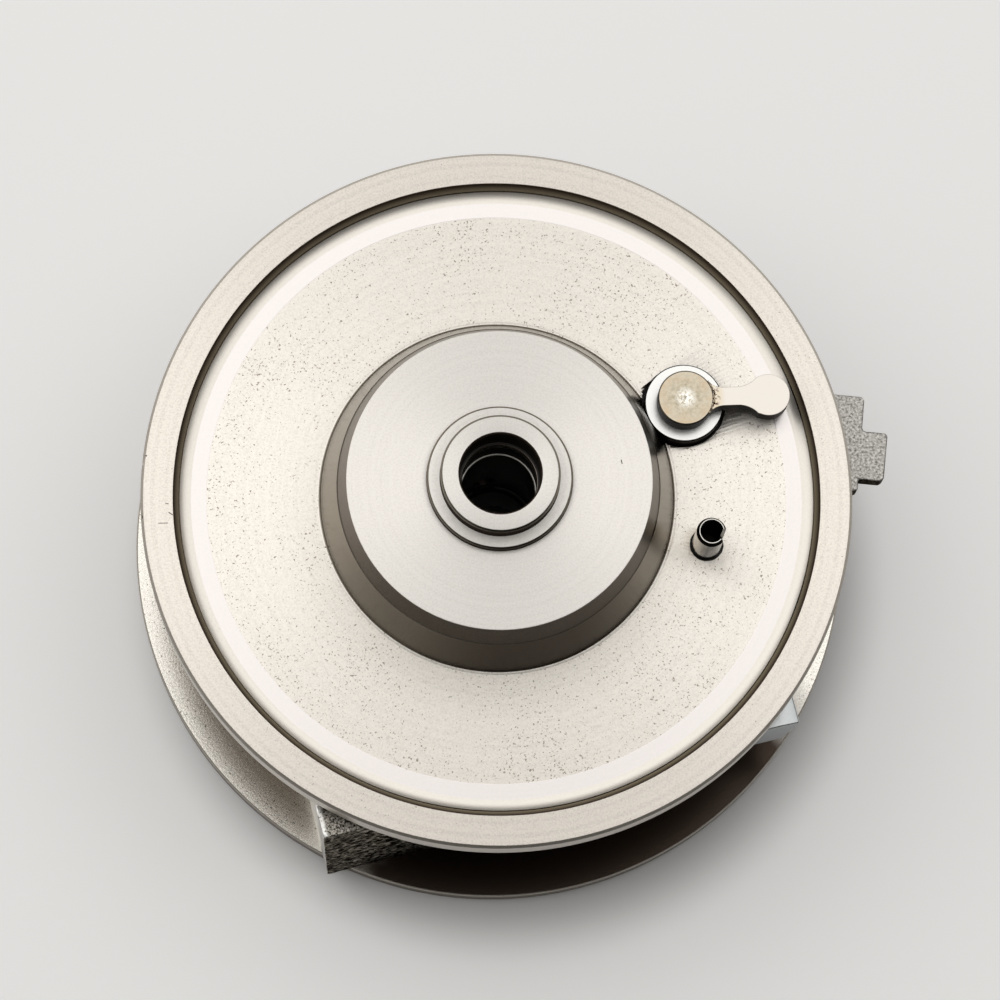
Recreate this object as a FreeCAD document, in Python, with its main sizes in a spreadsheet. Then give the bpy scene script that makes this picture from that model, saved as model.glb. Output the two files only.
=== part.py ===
import FreeCAD, Part
import math
import os
import Sketcher

# Bearing housing of a variable-nozzle turbocharger, standing on its compressor side.
# The bearing bore is on the Z axis, the compressor-side face is at Z = 0 and the
# turbine side points up. Azimuths are measured from +X towards +Y. Lengths are in
# millimetres and angles in degrees.

doc = FreeCAD.newDocument("bearing_housing_assembly")
sheet = doc.addObject("Spreadsheet::Sheet", "Dim")
# Driving dimensions, by the alias that each has in the sheet
SIZES = {
    # Turbine flange and its recess
    "turbine_flange_diameter": 120,
    "turbine_face_height": 45.5,
    "turbine_rim_thickness": 5.5,
    "turbine_rim_chamfer": 0.5,
    "turbine_recess_diameter": 109,
    "recess_depth": 2,
    "recess_corner_upper_width": 1.05,
    "recess_corner_upper_depth": 1.17,
    "recess_corner_lower_width": 2.46,
    "recess_corner_lower_depth": 1.94,
    "land_inner_diameter": 98,
    "land_outer_diameter": 101,
    "land_fall": 0.2,
    "turbine_web_thickness": 8,

    # Hub cone and nose
    "hub_foot_diameter": 59.8,
    "hub_top_diameter": 50.8,
    "hub_rise": 11.1,
    "nose_step_diameter": 24.3,
    "nose_step_height": 1.5,
    "nose_diameter": 19.9,
    "nose_height": 3,
    "nose_chamfer": 0.5,

    # Cast barrel between the flanges
    "barrel_top_diameter": 62,
    "barrel_waist_diameter": 52,
    "barrel_waist_top": 31,
    "barrel_waist_bottom": 20,
    "barrel_bottom_diameter": 64,
    "barrel_flare_diameter": 56.4,
    "barrel_flare_height": 3.4,

    # Compressor flange and its recess
    "compressor_flange_diameter": 125.8,
    "compressor_rim_thickness": 4.2,
    "compressor_rim_chamfer": 0.4,
    "compressor_face_inner_diameter": 100,
    "compressor_web_thickness": 9.5,
    "insert_recess_diameter": 66,
    "insert_recess_depth": 5,
    "seal_groove_width": 2.6,
    "seal_groove_depth": 1.9,
    "thrust_recess_diameter": 38,
    "thrust_recess_depth": 8.5,
    "seal_groove_diameter": 104,
    "thrust_screw_circle": 50,
    "thrust_screw_diameter": 4.2,
    "thrust_screw_depth": 3.2,
    "thrust_screws": 3,

    # Bearing bore, from the nose down
    "ring_bore_diameter": 13.4,
    "ring_bore_depth": 6.2,
    "ring_bore_chamfer": 0.25,
    "ring_shoulder_diameter": 12.4,
    "ring_shoulder_length": 1.8,
    "slinger_chamber_diameter": 21,
    "slinger_chamber_length": 5.3,
    "journal_bore_diameter": 12.4,
    "clip_groove_diameter": 13.8,
    "clip_groove_width": 1.3,
    "clip_groove_inset": 1.4,
    "bearing_length": 8,
    "oil_gallery_diameter": 14.4,

    # Oil inlet and oil drain
    "oil_inlet_azimuth": 104,
    "oil_inlet_boss_diameter": 20,
    "oil_inlet_reach": 44,
    "oil_inlet_height": 24,
    "oil_inlet_thread_diameter": 10.8,
    "oil_inlet_thread_depth": 12,
    "oil_feed_diameter": 4,
    "oil_drain_boss_diameter": 30,
    "oil_drain_reach": 45,
    "oil_drain_height": 24,
    "oil_drain_diameter": 17,

    # Cast side block and bracket foot, square to the oil drain
    "side_face_reach": 48.5,
    "side_face_draft": 3.1,
    "side_block_reach": 42,
    "side_block_width": 30,
    "side_block_depth": 30,
    "side_block_top": 36.5,
    "side_block_bottom": 3.6,
    "side_block_shelf": 6.5,
    "side_block_rise": 3.8,
    "foot_reach": 41.1,
    "foot_width": 24,
    "foot_depth": 34,
    "foot_top": 35.5,
    "foot_thickness": 10,
    "foot_bevel": 2.5,
    "foot_undercut": 1.2,

    # Crank seat, stop lug and roll pin
    "crank_radius": 35.4,
    "crank_azimuth": 26.5,
    "crank_boss_diameter": 22,
    "crank_boss_bottom": 24.3,
    "lug_azimuth": -5.5,
    "lug_half_width": 8.2,
    "lug_reach": 61.9,
    "lug_tab_width": 8.2,
    "lug_tab_reach": 66.5,
    "lug_tab_offset": 1.9,
    "lug_top": 28.5,
    "lug_thickness": 3.7,
    "lug_corner_radius": 1.2,
    "pin_radius_from_axis": 36.26,
    "pin_azimuth": -13,
    "roll_pin_diameter": 5,
    "roll_pin_wall": 0.6,
    "roll_pin_slit": 2,
    "roll_pin_slit_azimuth": -15,
    "roll_pin_stand": 10.8,
    "roll_pin_seat_depth": 4,
    "roll_pin_squeeze": 0.2,
    "roll_pin_chamfer": 0.35,
    "roll_pin_hole_clearance": 0.06,

    # Crank bush, shaft, arm and outer lever
    "bush_diameter": 13.4,
    "bush_stand": 2.6,
    "bush_seat_clearance": 0.02,
    "bush_relief_gap": 0.35,
    "bush_relief_depth": 1.5,
    "bush_chamfer": 0.25,
    "crank_journal_diameter": 7,
    "crank_running_clearance": 0.04,
    "crank_end_gap": 0.3,
    "crank_head_diameter": 9.3,
    "crank_head_height": 3.4,
    "crank_head_chamfer": 0.2,
    "arm_azimuth": 2.3,
    "arm_length": 14,
    "arm_neck_width": 3.2,
    "arm_end_diameter": 7,
    "arm_neck_fillet": 4.5,
    "lever_gap": 0.3,
    "lever_thickness": 4,
    "lever_eye_diameter": 13.6,
    "lever_length": 22,
    "lever_end_diameter": 9,
    "lever_azimuth": 75,
    "lever_seat_diameter": 5.6,
    "lever_pin_diameter": 5,
    "lever_pin_height": 6,
}
for row, (name, value) in enumerate(SIZES.items(), start=1):
    sheet.set(f"A{row}", name)
    sheet.set(f"B{row}", str(value))
    sheet.setAlias(f"B{row}", name)
doc.recompute()

# How near two lengths are when they count as the same
SAME = 1e-3


def number(text):
    """The present value of an expression in the sheet's names."""
    return float(sheet.evalExpression(text.replace("Dim.", "")))


# Heights and places that several pieces share
FLOOR = "(Dim.turbine_face_height - Dim.recess_depth)"
HUB_TOP = "(Dim.turbine_face_height + Dim.hub_rise)"
STEP_TOP = f"({HUB_TOP} + Dim.nose_step_height)"
NOSE_TOP = f"({STEP_TOP} + Dim.nose_height)"
WEB_BOTTOM = "(Dim.turbine_face_height - Dim.turbine_web_thickness)"
RIM_BOTTOM = "(Dim.turbine_face_height - Dim.turbine_rim_thickness)"
BUSH_TOP = f"({FLOOR} + Dim.bush_stand)"
HEAD_BOTTOM = f"({BUSH_TOP} + Dim.crank_end_gap)"
HEAD_TOP = f"({HEAD_BOTTOM} + Dim.crank_head_height)"
LEVER_TOP = "(Dim.crank_boss_bottom - Dim.lever_gap)"
CRANK_X = "(Dim.crank_radius * cos(Dim.crank_azimuth))"
CRANK_Y = "(Dim.crank_radius * sin(Dim.crank_azimuth))"
PIN_X = "(Dim.pin_radius_from_axis * cos(Dim.pin_azimuth))"
PIN_Y = "(Dim.pin_radius_from_axis * sin(Dim.pin_azimuth))"


def half(name):
    """Half of a named size, as an expression."""
    return f"(Dim.{name} / 2)"


def new_body(label):
    """A body whose label names its node."""
    body = doc.addObject("PartDesign::Body", label)
    body.Label = label
    return body


def new_sketch(body, name, plane, height="0", azimuth="0", forward="0"):
    """A sketch on one of its body's origin planes.

    On the level plane it is raised to a height and turned about Z. On the upright plane
    its across axis points at the azimuth, its up axis is Z, and it is moved forward along
    its own normal, which points 90 degrees short of that azimuth.
    """
    sketch = body.newObject("Sketcher::SketchObject", name)
    support = [item for item in body.Origin.OriginFeatures if item.Role == plane][0]
    sketch.AttachmentSupport = (support, [""])
    sketch.MapMode = "FlatFace"
    level = plane == "XY_Plane"
    axis = FreeCAD.Vector(0, 0, 1) if level else FreeCAD.Vector(0, 1, 0)
    turn = FreeCAD.Rotation(axis, number(azimuth) if azimuth != "0" else 1.0)
    sketch.AttachmentOffset = FreeCAD.Placement(FreeCAD.Vector(0, 0, 0), turn)
    sketch.setExpression("AttachmentOffset.Rotation.Angle", azimuth)
    if level:
        sketch.setExpression("AttachmentOffset.Base.z", height)
    else:
        sketch.setExpression("AttachmentOffset.Base.x", f"{forward} * sin({azimuth})")
        sketch.setExpression("AttachmentOffset.Base.z", f"{forward} * cos({azimuth})")
    return sketch


def pin_point(sketch, geometry, end, across, up):
    """Holds one point of a sketch at two named distances from the sketch's origin."""
    for kind, axis, text in (("DistanceX", -2, across), ("DistanceY", -1, up)):
        if text == "0":
            sketch.addConstraint(Sketcher.Constraint("PointOnObject", geometry, end, axis))
            continue
        limit = Sketcher.Constraint(kind, -1, 1, geometry, end, number(text))
        index = sketch.addConstraint(limit)
        sketch.setExpression(f"Constraints[{index}]", text)


def arc_between(start, finish, radius, bends_left):
    """The short circular arc from start to finish; bends_left says which way it turns."""
    chord = finish - start
    rise = math.sqrt(max(radius ** 2 - (chord.Length / 2) ** 2, 0.0))
    side = FreeCAD.Vector(-chord.y, chord.x, 0).normalize()
    centre = (start + finish) * 0.5 + side * (rise if bends_left else -rise)
    first, last = (start, finish) if bends_left else (finish, start)
    first_angle = math.atan2(first.y - centre.y, first.x - centre.x)
    last_angle = math.atan2(last.y - centre.y, last.x - centre.x)
    whole = Part.Circle(centre, FreeCAD.Vector(0, 0, 1), radius)
    return Part.ArcOfCircle(whole, first_angle, last_angle)


def outline(sketch, corners):
    """A closed outline through named corners.

    A corner is (across, up), or (across, up, radius, "left" or "right") where the
    stretch to the next corner is an arc that bends that way.
    """
    points = [FreeCAD.Vector(number(item[0]), number(item[1]), 0) for item in corners]
    count = len(corners)
    starts = []
    ends = []
    for index, corner in enumerate(corners):
        start = points[index]
        finish = points[(index + 1) % count]
        if len(corner) == 2:
            edge = sketch.addGeometry(Part.LineSegment(start, finish))
            starts.append((edge, 1))
            ends.append((edge, 2))
            continue
        bends_left = corner[3] == "left"
        arc = arc_between(start, finish, number(corner[2]), bends_left)
        edge = sketch.addGeometry(arc)
        starts.append((edge, 1 if bends_left else 2))
        ends.append((edge, 2 if bends_left else 1))
        limit = Sketcher.Constraint("Radius", edge, number(corner[2]))
        radius_index = sketch.addConstraint(limit)
        sketch.setExpression(f"Constraints[{radius_index}]", corner[2])
    for index, corner in enumerate(corners):
        after = starts[(index + 1) % count]
        sketch.addConstraint(Sketcher.Constraint("Coincident", *ends[index], *after))
        pin_point(sketch, *starts[index], corner[0], corner[1])


def circle(sketch, across, up, radius):
    """A full circle with a named centre and radius."""
    centre = FreeCAD.Vector(number(across), number(up), 0)
    shape = Part.Circle(centre, FreeCAD.Vector(0, 0, 1), number(radius))
    edge = sketch.addGeometry(shape)
    pin_point(sketch, edge, 3, across, up)
    index = sketch.addConstraint(Sketcher.Constraint("Radius", edge, number(radius)))
    sketch.setExpression(f"Constraints[{index}]", radius)


def pad(body, name, sketch, length):
    """Raises a sketch along its normal."""
    feature = body.newObject("PartDesign::Pad", name)
    feature.Profile = sketch
    feature.setExpression("Length", length)
    doc.recompute()
    return feature


def volume_of(body):
    """The volume of a body as it stands."""
    doc.recompute()
    return 0.0 if body.Shape.isNull() else body.Shape.Volume


def pocket(body, name, sketch, length, up=False):
    """Cuts a sketch downwards, or upwards, and makes sure that it cut something."""
    before = volume_of(body)
    feature = body.newObject("PartDesign::Pocket", name)
    feature.Profile = sketch
    feature.Reversed = up
    feature.setExpression("Length", length)
    if volume_of(body) > before - 1e-6:
        raise RuntimeError(f"{name} cuts nothing")
    return feature


def revolve(body, name, sketch, kind="PartDesign::Revolution"):
    """Turns a sketch about its own up axis, as an added or a cut form."""
    before = volume_of(body)
    feature = body.newObject(kind, name)
    feature.Profile = sketch
    feature.ReferenceAxis = (sketch, ["V_Axis"])
    feature.Angle = 360
    after = volume_of(body)
    if kind == "PartDesign::Groove" and after > before - 1e-6:
        raise RuntimeError(f"{name} cuts nothing")
    return feature


def radial_cylinder(body, name, azimuth, height, start, length, radius, cut=False):
    """A cylinder that lies level and points outwards at an azimuth."""
    kind = "PartDesign::SubtractiveCylinder" if cut else "PartDesign::AdditiveCylinder"
    feature = body.newObject(kind, name)
    support = [item for item in body.Origin.OriginFeatures if item.Role == "XY_Plane"][0]
    feature.AttachmentSupport = (support, [""])
    feature.MapMode = "FlatFace"
    turn = FreeCAD.Rotation(number(azimuth), 90, 0)
    feature.AttachmentOffset = FreeCAD.Placement(FreeCAD.Vector(0, 0, 0), turn)
    feature.setExpression("AttachmentOffset.Base.x", f"{start} * cos({azimuth})")
    feature.setExpression("AttachmentOffset.Base.y", f"{start} * sin({azimuth})")
    feature.setExpression("AttachmentOffset.Base.z", height)
    feature.setExpression("Height", length)
    feature.setExpression("Radius", radius)
    doc.recompute()
    return feature


def round_edges(body, name, kind, radius, chosen):
    """A fillet or chamfer on the edges of the present solid that chosen() picks."""
    doc.recompute()
    base = body.Tip
    names = []
    for index, edge in enumerate(base.Shape.Edges, start=1):
        if chosen(edge):
            names.append(f"Edge{index}")
    if not names:
        raise RuntimeError(f"{name} finds no edge")
    feature = body.newObject(kind, name)
    feature.Base = (base, names)
    feature.setExpression("Radius" if kind == "PartDesign::Fillet" else "Size", radius)
    doc.recompute()
    return feature


def is_top_ring(edge, height, radius):
    """True for a circle of one radius at one height."""
    curve = edge.Curve
    if not isinstance(curve, Part.Circle):
        return False
    return abs(curve.Center.z - height) < SAME and abs(curve.Radius - radius) < SAME


# Casting, turned forms
# The turbine flange, hub, nose, waisted barrel and compressor flange are one casting,
# turned on its two flanges, its recess, its hub and its nose.

def turned_outside(housing):
    """The whole outer profile of the casting, from the nose down to the lower face."""
    sketch = new_sketch(housing, "outer_profile", "XZ_Plane")
    rim_edge = "(Dim.turbine_face_height - Dim.turbine_rim_chamfer)"
    rim_radius = f"({half('turbine_flange_diameter')} - Dim.turbine_rim_chamfer)"
    upper_corner = f"({half('turbine_recess_diameter')} - Dim.recess_corner_upper_width)"
    lower_corner = f"({half('turbine_recess_diameter')} - Dim.recess_corner_lower_width)"
    land_bottom = f"({FLOOR} - Dim.land_fall)"
    lower_rim = f"({half('compressor_flange_diameter')} - Dim.compressor_rim_chamfer)"
    lower_edge = "(Dim.compressor_rim_thickness - Dim.compressor_rim_chamfer)"
    outline(sketch, [
        ("0", "0"),
        (half("compressor_flange_diameter"), "0"),
        (half("compressor_flange_diameter"), lower_edge),
        (lower_rim, "Dim.compressor_rim_thickness"),
        (half("compressor_face_inner_diameter"), "Dim.compressor_rim_thickness"),
        (half("barrel_bottom_diameter"), "Dim.compressor_web_thickness"),
        (half("barrel_flare_diameter"), "(Dim.compressor_web_thickness + Dim.barrel_flare_height)"),
        (half("barrel_waist_diameter"), "Dim.barrel_waist_bottom"),
        (half("barrel_waist_diameter"), "Dim.barrel_waist_top"),
        (half("barrel_flare_diameter"), f"({WEB_BOTTOM} - Dim.barrel_flare_height)"),
        (half("barrel_top_diameter"), WEB_BOTTOM),
        (half("turbine_flange_diameter"), RIM_BOTTOM),
        (half("turbine_flange_diameter"), rim_edge),
        (rim_radius, "Dim.turbine_face_height"),
        (half("turbine_recess_diameter"), "Dim.turbine_face_height"),
        (upper_corner, "(Dim.turbine_face_height - Dim.recess_corner_upper_depth)"),
        (lower_corner, "(Dim.turbine_face_height - Dim.recess_corner_lower_depth)"),
        (half("land_outer_diameter"), land_bottom),
        (half("land_inner_diameter"), FLOOR),
        (half("hub_foot_diameter"), FLOOR),
        (half("hub_top_diameter"), HUB_TOP),
        (half("nose_step_diameter"), HUB_TOP),
        (half("nose_step_diameter"), f"({STEP_TOP} - Dim.nose_chamfer)"),
        (f"({half('nose_step_diameter')} - Dim.nose_chamfer)", STEP_TOP),
        (half("nose_diameter"), STEP_TOP),
        (half("nose_diameter"), f"({NOSE_TOP} - Dim.nose_chamfer)"),
        (f"({half('nose_diameter')} - Dim.nose_chamfer)", NOSE_TOP),
        ("0", NOSE_TOP),
    ])
    revolve(housing, "turned_outside", sketch)


# Casting, side forms
# Oil inlet and oil drain bosses, the side block, the bracket foot, the crank boss with
# its stop lug: all cast with the barrel.

def side_block(housing):
    """The cast block between the flanges; its front leans out downwards."""
    lean = "((Dim.side_block_top - Dim.side_block_bottom) * tan(Dim.side_face_draft))"
    back = "-(Dim.side_face_reach - Dim.side_block_depth)"
    shelf = "-(Dim.side_face_reach - Dim.side_block_shelf)"
    web = "(Dim.side_block_top + Dim.side_block_rise)"
    sketch = new_sketch(housing, "side_block_section", "XZ_Plane",
                        azimuth="Dim.oil_inlet_azimuth", forward="-Dim.side_block_reach")
    outline(sketch, [
        (f"-(Dim.side_face_reach + {lean})", "Dim.side_block_bottom"),
        (back, "Dim.side_block_bottom"),
        (back, web),
        (f"({shelf} + Dim.side_block_rise / 2)", web),
        (shelf, "Dim.side_block_top"),
        ("-Dim.side_face_reach", "Dim.side_block_top"),
    ])
    pad(housing, "side_block", sketch, "Dim.side_block_width")


def bracket_foot(housing):
    """The machined foot on the other side of the drain, bevelled along its outer edge."""
    bottom = "(Dim.foot_top - Dim.foot_thickness)"
    sketch = new_sketch(housing, "bracket_foot_section", "XZ_Plane",
                        azimuth="Dim.oil_inlet_azimuth - 90",
                        forward="(Dim.side_face_reach - Dim.foot_depth)")
    outline(sketch, [
        ("(Dim.foot_reach - Dim.foot_width)", bottom),
        ("(Dim.foot_reach - Dim.foot_undercut)", bottom),
        ("Dim.foot_reach", "(Dim.foot_top - Dim.foot_bevel)"),
        ("(Dim.foot_reach - Dim.foot_bevel)", "Dim.foot_top"),
        ("(Dim.foot_reach - Dim.foot_width)", "Dim.foot_top"),
    ])
    pad(housing, "bracket_foot", sketch, "Dim.foot_depth")


def oil_bosses(housing):
    """The level oil inlet boss and, opposite it, the larger oil drain boss."""
    start = half("barrel_waist_diameter") + " * 0.7"
    radial_cylinder(housing, "oil_inlet_boss", "Dim.oil_inlet_azimuth", "Dim.oil_inlet_height",
                    start, f"Dim.oil_inlet_reach - {start}", half("oil_inlet_boss_diameter"))
    radial_cylinder(housing, "oil_drain_boss", "(Dim.oil_inlet_azimuth + 180)",
                    "Dim.oil_drain_height", start, f"Dim.oil_drain_reach - {start}",
                    half("oil_drain_boss_diameter"))


def crank_boss(housing):
    """The boss under the turbine flange that carries the crank bush."""
    sketch = new_sketch(housing, "crank_boss_circle", "XY_Plane", "Dim.crank_boss_bottom")
    circle(sketch, CRANK_X, CRANK_Y, half("crank_boss_diameter"))
    pad(housing, "crank_boss", sketch, f"{FLOOR} - 1 - Dim.crank_boss_bottom")


def stop_lug(housing):
    """The flat stepped lug that reaches out past the flanges from the crank boss."""
    middle = "(Dim.crank_radius * sin(Dim.crank_azimuth - Dim.lug_azimuth))"
    root = "(Dim.crank_radius * cos(Dim.crank_azimuth - Dim.lug_azimuth))"
    tab = f"({middle} - Dim.lug_tab_offset)"
    tab_half = half("lug_tab_width")
    corner = "Dim.lug_corner_radius"
    near = f"({middle} - Dim.lug_half_width)"
    far = f"({middle} + Dim.lug_half_width)"
    sketch = new_sketch(housing, "stop_lug_outline", "XY_Plane",
                        "(Dim.lug_top - Dim.lug_thickness)", "Dim.lug_azimuth")
    outline(sketch, [
        (root, near),
        (f"(Dim.lug_reach - {corner})", near, corner, "left"),
        ("Dim.lug_reach", f"({near} + {corner})"),
        ("Dim.lug_reach", f"({tab} - {tab_half})"),
        ("Dim.lug_tab_reach", f"({tab} - {tab_half})"),
        ("Dim.lug_tab_reach", f"({tab} + {tab_half})"),
        ("Dim.lug_reach", f"({tab} + {tab_half})"),
        ("Dim.lug_reach", far),
        (root, far),
    ])
    pad(housing, "stop_lug", sketch, "Dim.lug_thickness")


# Casting, machined holes

def bearing_bore(housing):
    """The stepped bore: seal-ring bore, shoulder, slinger chamber and journal bore."""
    ring_end = f"({NOSE_TOP} - Dim.ring_bore_depth)"
    shoulder_end = f"({ring_end} - Dim.ring_shoulder_length)"
    chamber_end = f"({shoulder_end} - Dim.slinger_chamber_length)"
    chamfer_radius = f"({half('ring_bore_diameter')} + Dim.ring_bore_chamfer)"
    gallery_top = f"({chamber_end} - Dim.bearing_length - 2 * Dim.clip_groove_inset)"
    gallery_bottom = "(Dim.thrust_recess_depth + Dim.bearing_length + 2 * Dim.clip_groove_inset)"
    sketch = new_sketch(housing, "bearing_bore_profile", "XZ_Plane")
    outline(sketch, [
        ("0", "0"),
        (half("journal_bore_diameter"), "0"),
        (half("journal_bore_diameter"), gallery_bottom),
        (half("oil_gallery_diameter"), gallery_bottom),
        (half("oil_gallery_diameter"), gallery_top),
        (half("journal_bore_diameter"), gallery_top),
        (half("journal_bore_diameter"), chamber_end),
        (half("slinger_chamber_diameter"), chamber_end),
        (half("slinger_chamber_diameter"), shoulder_end),
        (half("ring_shoulder_diameter"), shoulder_end),
        (half("ring_shoulder_diameter"), ring_end),
        (half("ring_bore_diameter"), ring_end),
        (half("ring_bore_diameter"), f"({NOSE_TOP} - Dim.ring_bore_chamfer)"),
        (chamfer_radius, NOSE_TOP),
        ("0", NOSE_TOP),
    ])
    revolve(housing, "bearing_bore", sketch, "PartDesign::Groove")
    clips = new_sketch(housing, "clip_groove_profile", "XZ_Plane")
    inner = half("journal_bore_diameter") + " * 0.8"
    for level in (
        f"({chamber_end} - Dim.clip_groove_inset - Dim.clip_groove_width)",
        "(Dim.thrust_recess_depth + Dim.clip_groove_inset)",
    ):
        outline(clips, [
            (inner, level),
            (half("clip_groove_diameter"), level),
            (half("clip_groove_diameter"), f"({level} + Dim.clip_groove_width)"),
            (inner, f"({level} + Dim.clip_groove_width)"),
        ])
    revolve(housing, "clip_grooves", clips, "PartDesign::Groove")


def compressor_recess(housing):
    """The lower face: insert recess, thrust recess and a seal groove round them."""
    sketch = new_sketch(housing, "insert_recess_profile", "XZ_Plane")
    outline(sketch, [
        ("0", "0"),
        (half("insert_recess_diameter"), "0"),
        (half("insert_recess_diameter"), "Dim.insert_recess_depth"),
        (half("thrust_recess_diameter"), "Dim.insert_recess_depth"),
        (half("thrust_recess_diameter"), "Dim.thrust_recess_depth"),
        ("0", "Dim.thrust_recess_depth"),
    ])
    revolve(housing, "compressor_recess", sketch, "PartDesign::Groove")
    groove = new_sketch(housing, "seal_groove_profile", "XZ_Plane")
    inner = half("seal_groove_diameter")
    outline(groove, [
        (inner, "0"),
        (f"({inner} + Dim.seal_groove_width)", "0"),
        (f"({inner} + Dim.seal_groove_width)", "Dim.seal_groove_depth"),
        (inner, "Dim.seal_groove_depth"),
    ])
    revolve(housing, "seal_groove", groove, "PartDesign::Groove")
    screw = new_sketch(housing, "thrust_screw_circle", "XY_Plane")
    circle(screw, "(Dim.thrust_screw_circle / 2)", "0", half("thrust_screw_diameter"))
    hole = pocket(housing, "thrust_screw_hole", screw,
                  "Dim.insert_recess_depth + Dim.thrust_screw_depth", up=True)
    repeat = housing.newObject("PartDesign::PolarPattern", "thrust_screw_holes")
    repeat.Originals = [hole]
    repeat.Axis = (screw, ["N_Axis"])
    repeat.Angle = 360
    repeat.setExpression("Occurrences", "Dim.thrust_screws")
    housing.Tip = repeat
    doc.recompute()


def oil_passages(housing):
    """The threaded oil inlet with its feed into the bearings, and the wide oil drain."""
    inlet = "Dim.oil_inlet_azimuth"
    radial_cylinder(housing, "oil_inlet_thread", inlet, "Dim.oil_inlet_height",
                    "(Dim.oil_inlet_reach - Dim.oil_inlet_thread_depth)",
                    "(Dim.oil_inlet_thread_depth + 1)", half("oil_inlet_thread_diameter"), True)
    radial_cylinder(housing, "oil_feed", inlet, "Dim.oil_inlet_height", "0",
                    "(Dim.oil_inlet_reach - 1)", half("oil_feed_diameter"), True)
    radial_cylinder(housing, "oil_drain", "(Dim.oil_inlet_azimuth + 180)",
                    "Dim.oil_drain_height", "0", "(Dim.oil_drain_reach + 1)",
                    half("oil_drain_diameter"), True)


def crank_seat(housing):
    """The bush seat, bored from above, with a relief that also clips the hub's foot."""
    relief = new_sketch(housing, "bush_relief_circle", "XY_Plane", HUB_TOP)
    relief_radius = f"({half('bush_diameter')} + Dim.bush_relief_gap)"
    circle(relief, CRANK_X, CRANK_Y, relief_radius)
    pocket(housing, "bush_relief", relief, f"{HUB_TOP} - {FLOOR} + Dim.bush_relief_depth")
    seat = new_sketch(housing, "bush_seat_circle", "XY_Plane", HUB_TOP)
    circle(seat, CRANK_X, CRANK_Y, f"({half('bush_diameter')} + Dim.bush_seat_clearance)")
    pocket(housing, "bush_seat", seat, f"{HUB_TOP} - Dim.crank_boss_bottom + 1")


def roll_pin_hole(housing):
    """The blind hole in the recess floor that squeezes and so grips the roll pin."""
    sketch = new_sketch(housing, "roll_pin_hole_circle", "XY_Plane", FLOOR)
    squeezed = f"({half('roll_pin_diameter')} - Dim.roll_pin_squeeze)"
    radius = f"({squeezed} + Dim.roll_pin_hole_clearance)"
    circle(sketch, PIN_X, PIN_Y, radius)
    pocket(housing, "roll_pin_hole", sketch, "Dim.roll_pin_seat_depth")


def bearing_housing():
    """The casting with its turned faces and its bores."""
    housing = new_body("bearing_housing")
    turned_outside(housing)
    oil_bosses(housing)
    side_block(housing)
    bracket_foot(housing)
    crank_boss(housing)
    stop_lug(housing)
    bearing_bore(housing)
    compressor_recess(housing)
    oil_passages(housing)
    crank_seat(housing)
    roll_pin_hole(housing)
    return housing


# Roll pin
# A rolled spring-steel tube, open along one side, that places the nozzle ring.

def roll_pin():
    """A slit tube with a bevelled end; the hole squeezes its lower stretch narrower."""
    body = new_body("roll_pin")
    base = f"({FLOOR} - Dim.roll_pin_seat_depth)"
    outer = half("roll_pin_diameter")
    held = f"({outer} - Dim.roll_pin_squeeze)"
    sketch = new_sketch(body, "roll_pin_ring", "XY_Plane", FLOOR)
    circle(sketch, PIN_X, PIN_Y, outer)
    circle(sketch, PIN_X, PIN_Y, f"({outer} - Dim.roll_pin_wall)")
    pad(body, "roll_pin_tube", sketch, "Dim.roll_pin_stand")
    shank = new_sketch(body, "roll_pin_held_ring", "XY_Plane", base)
    circle(shank, PIN_X, PIN_Y, held)
    circle(shank, PIN_X, PIN_Y, f"({held} - Dim.roll_pin_wall)")
    pad(body, "roll_pin_held_tube", shank, "Dim.roll_pin_seat_depth")
    top = number(f"{FLOOR} + Dim.roll_pin_stand")
    radius = number(outer)

    def chosen(edge):
        return is_top_ring(edge, top, radius)

    round_edges(body, "roll_pin_bevel", "PartDesign::Chamfer", "Dim.roll_pin_chamfer", chosen)
    slit_cos = "cos(Dim.roll_pin_slit_azimuth)"
    slit_sin = "sin(Dim.roll_pin_slit_azimuth)"
    across = f"({PIN_X} * {slit_cos} + {PIN_Y} * {slit_sin})"
    up = f"({PIN_Y} * {slit_cos} - {PIN_X} * {slit_sin})"
    slit = new_sketch(body, "roll_pin_slit_outline", "XY_Plane", f"({FLOOR} + Dim.roll_pin_stand)",
                      "Dim.roll_pin_slit_azimuth")
    outline(slit, [
        (across, f"({up} - {half('roll_pin_slit')})"),
        (f"({across} + Dim.roll_pin_diameter)", f"({up} - {half('roll_pin_slit')})"),
        (f"({across} + Dim.roll_pin_diameter)", f"({up} + {half('roll_pin_slit')})"),
        (across, f"({up} + {half('roll_pin_slit')})"),
    ])
    pocket(body, "roll_pin_slit", slit, "Dim.roll_pin_seat_depth + Dim.roll_pin_stand + 1")
    return body


# Crank bush
# A hard bright steel bush, pressed into the boss, that stands proud of the floor.

def crank_bush():
    """The bush: a plain tube with an eased top edge."""
    body = new_body("crank_bush")
    sketch = new_sketch(body, "crank_bush_ring", "XY_Plane", "Dim.crank_boss_bottom")
    circle(sketch, CRANK_X, CRANK_Y, half("bush_diameter"))
    bore = f"({half('crank_journal_diameter')} + Dim.crank_running_clearance)"
    circle(sketch, CRANK_X, CRANK_Y, bore)
    pad(body, "crank_bush_tube", sketch, f"{BUSH_TOP} - Dim.crank_boss_bottom")
    top = number(BUSH_TOP)
    radius = number(half("bush_diameter"))

    def chosen(edge):
        return is_top_ring(edge, top, radius)

    round_edges(body, "crank_bush_edge", "PartDesign::Chamfer", "Dim.bush_chamfer", chosen)
    return body


# Crank
# The shaft turns in the bush. Its head is welded to the inner arm in the recess, and the
# outer lever is riveted to its other end between the flanges.

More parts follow.
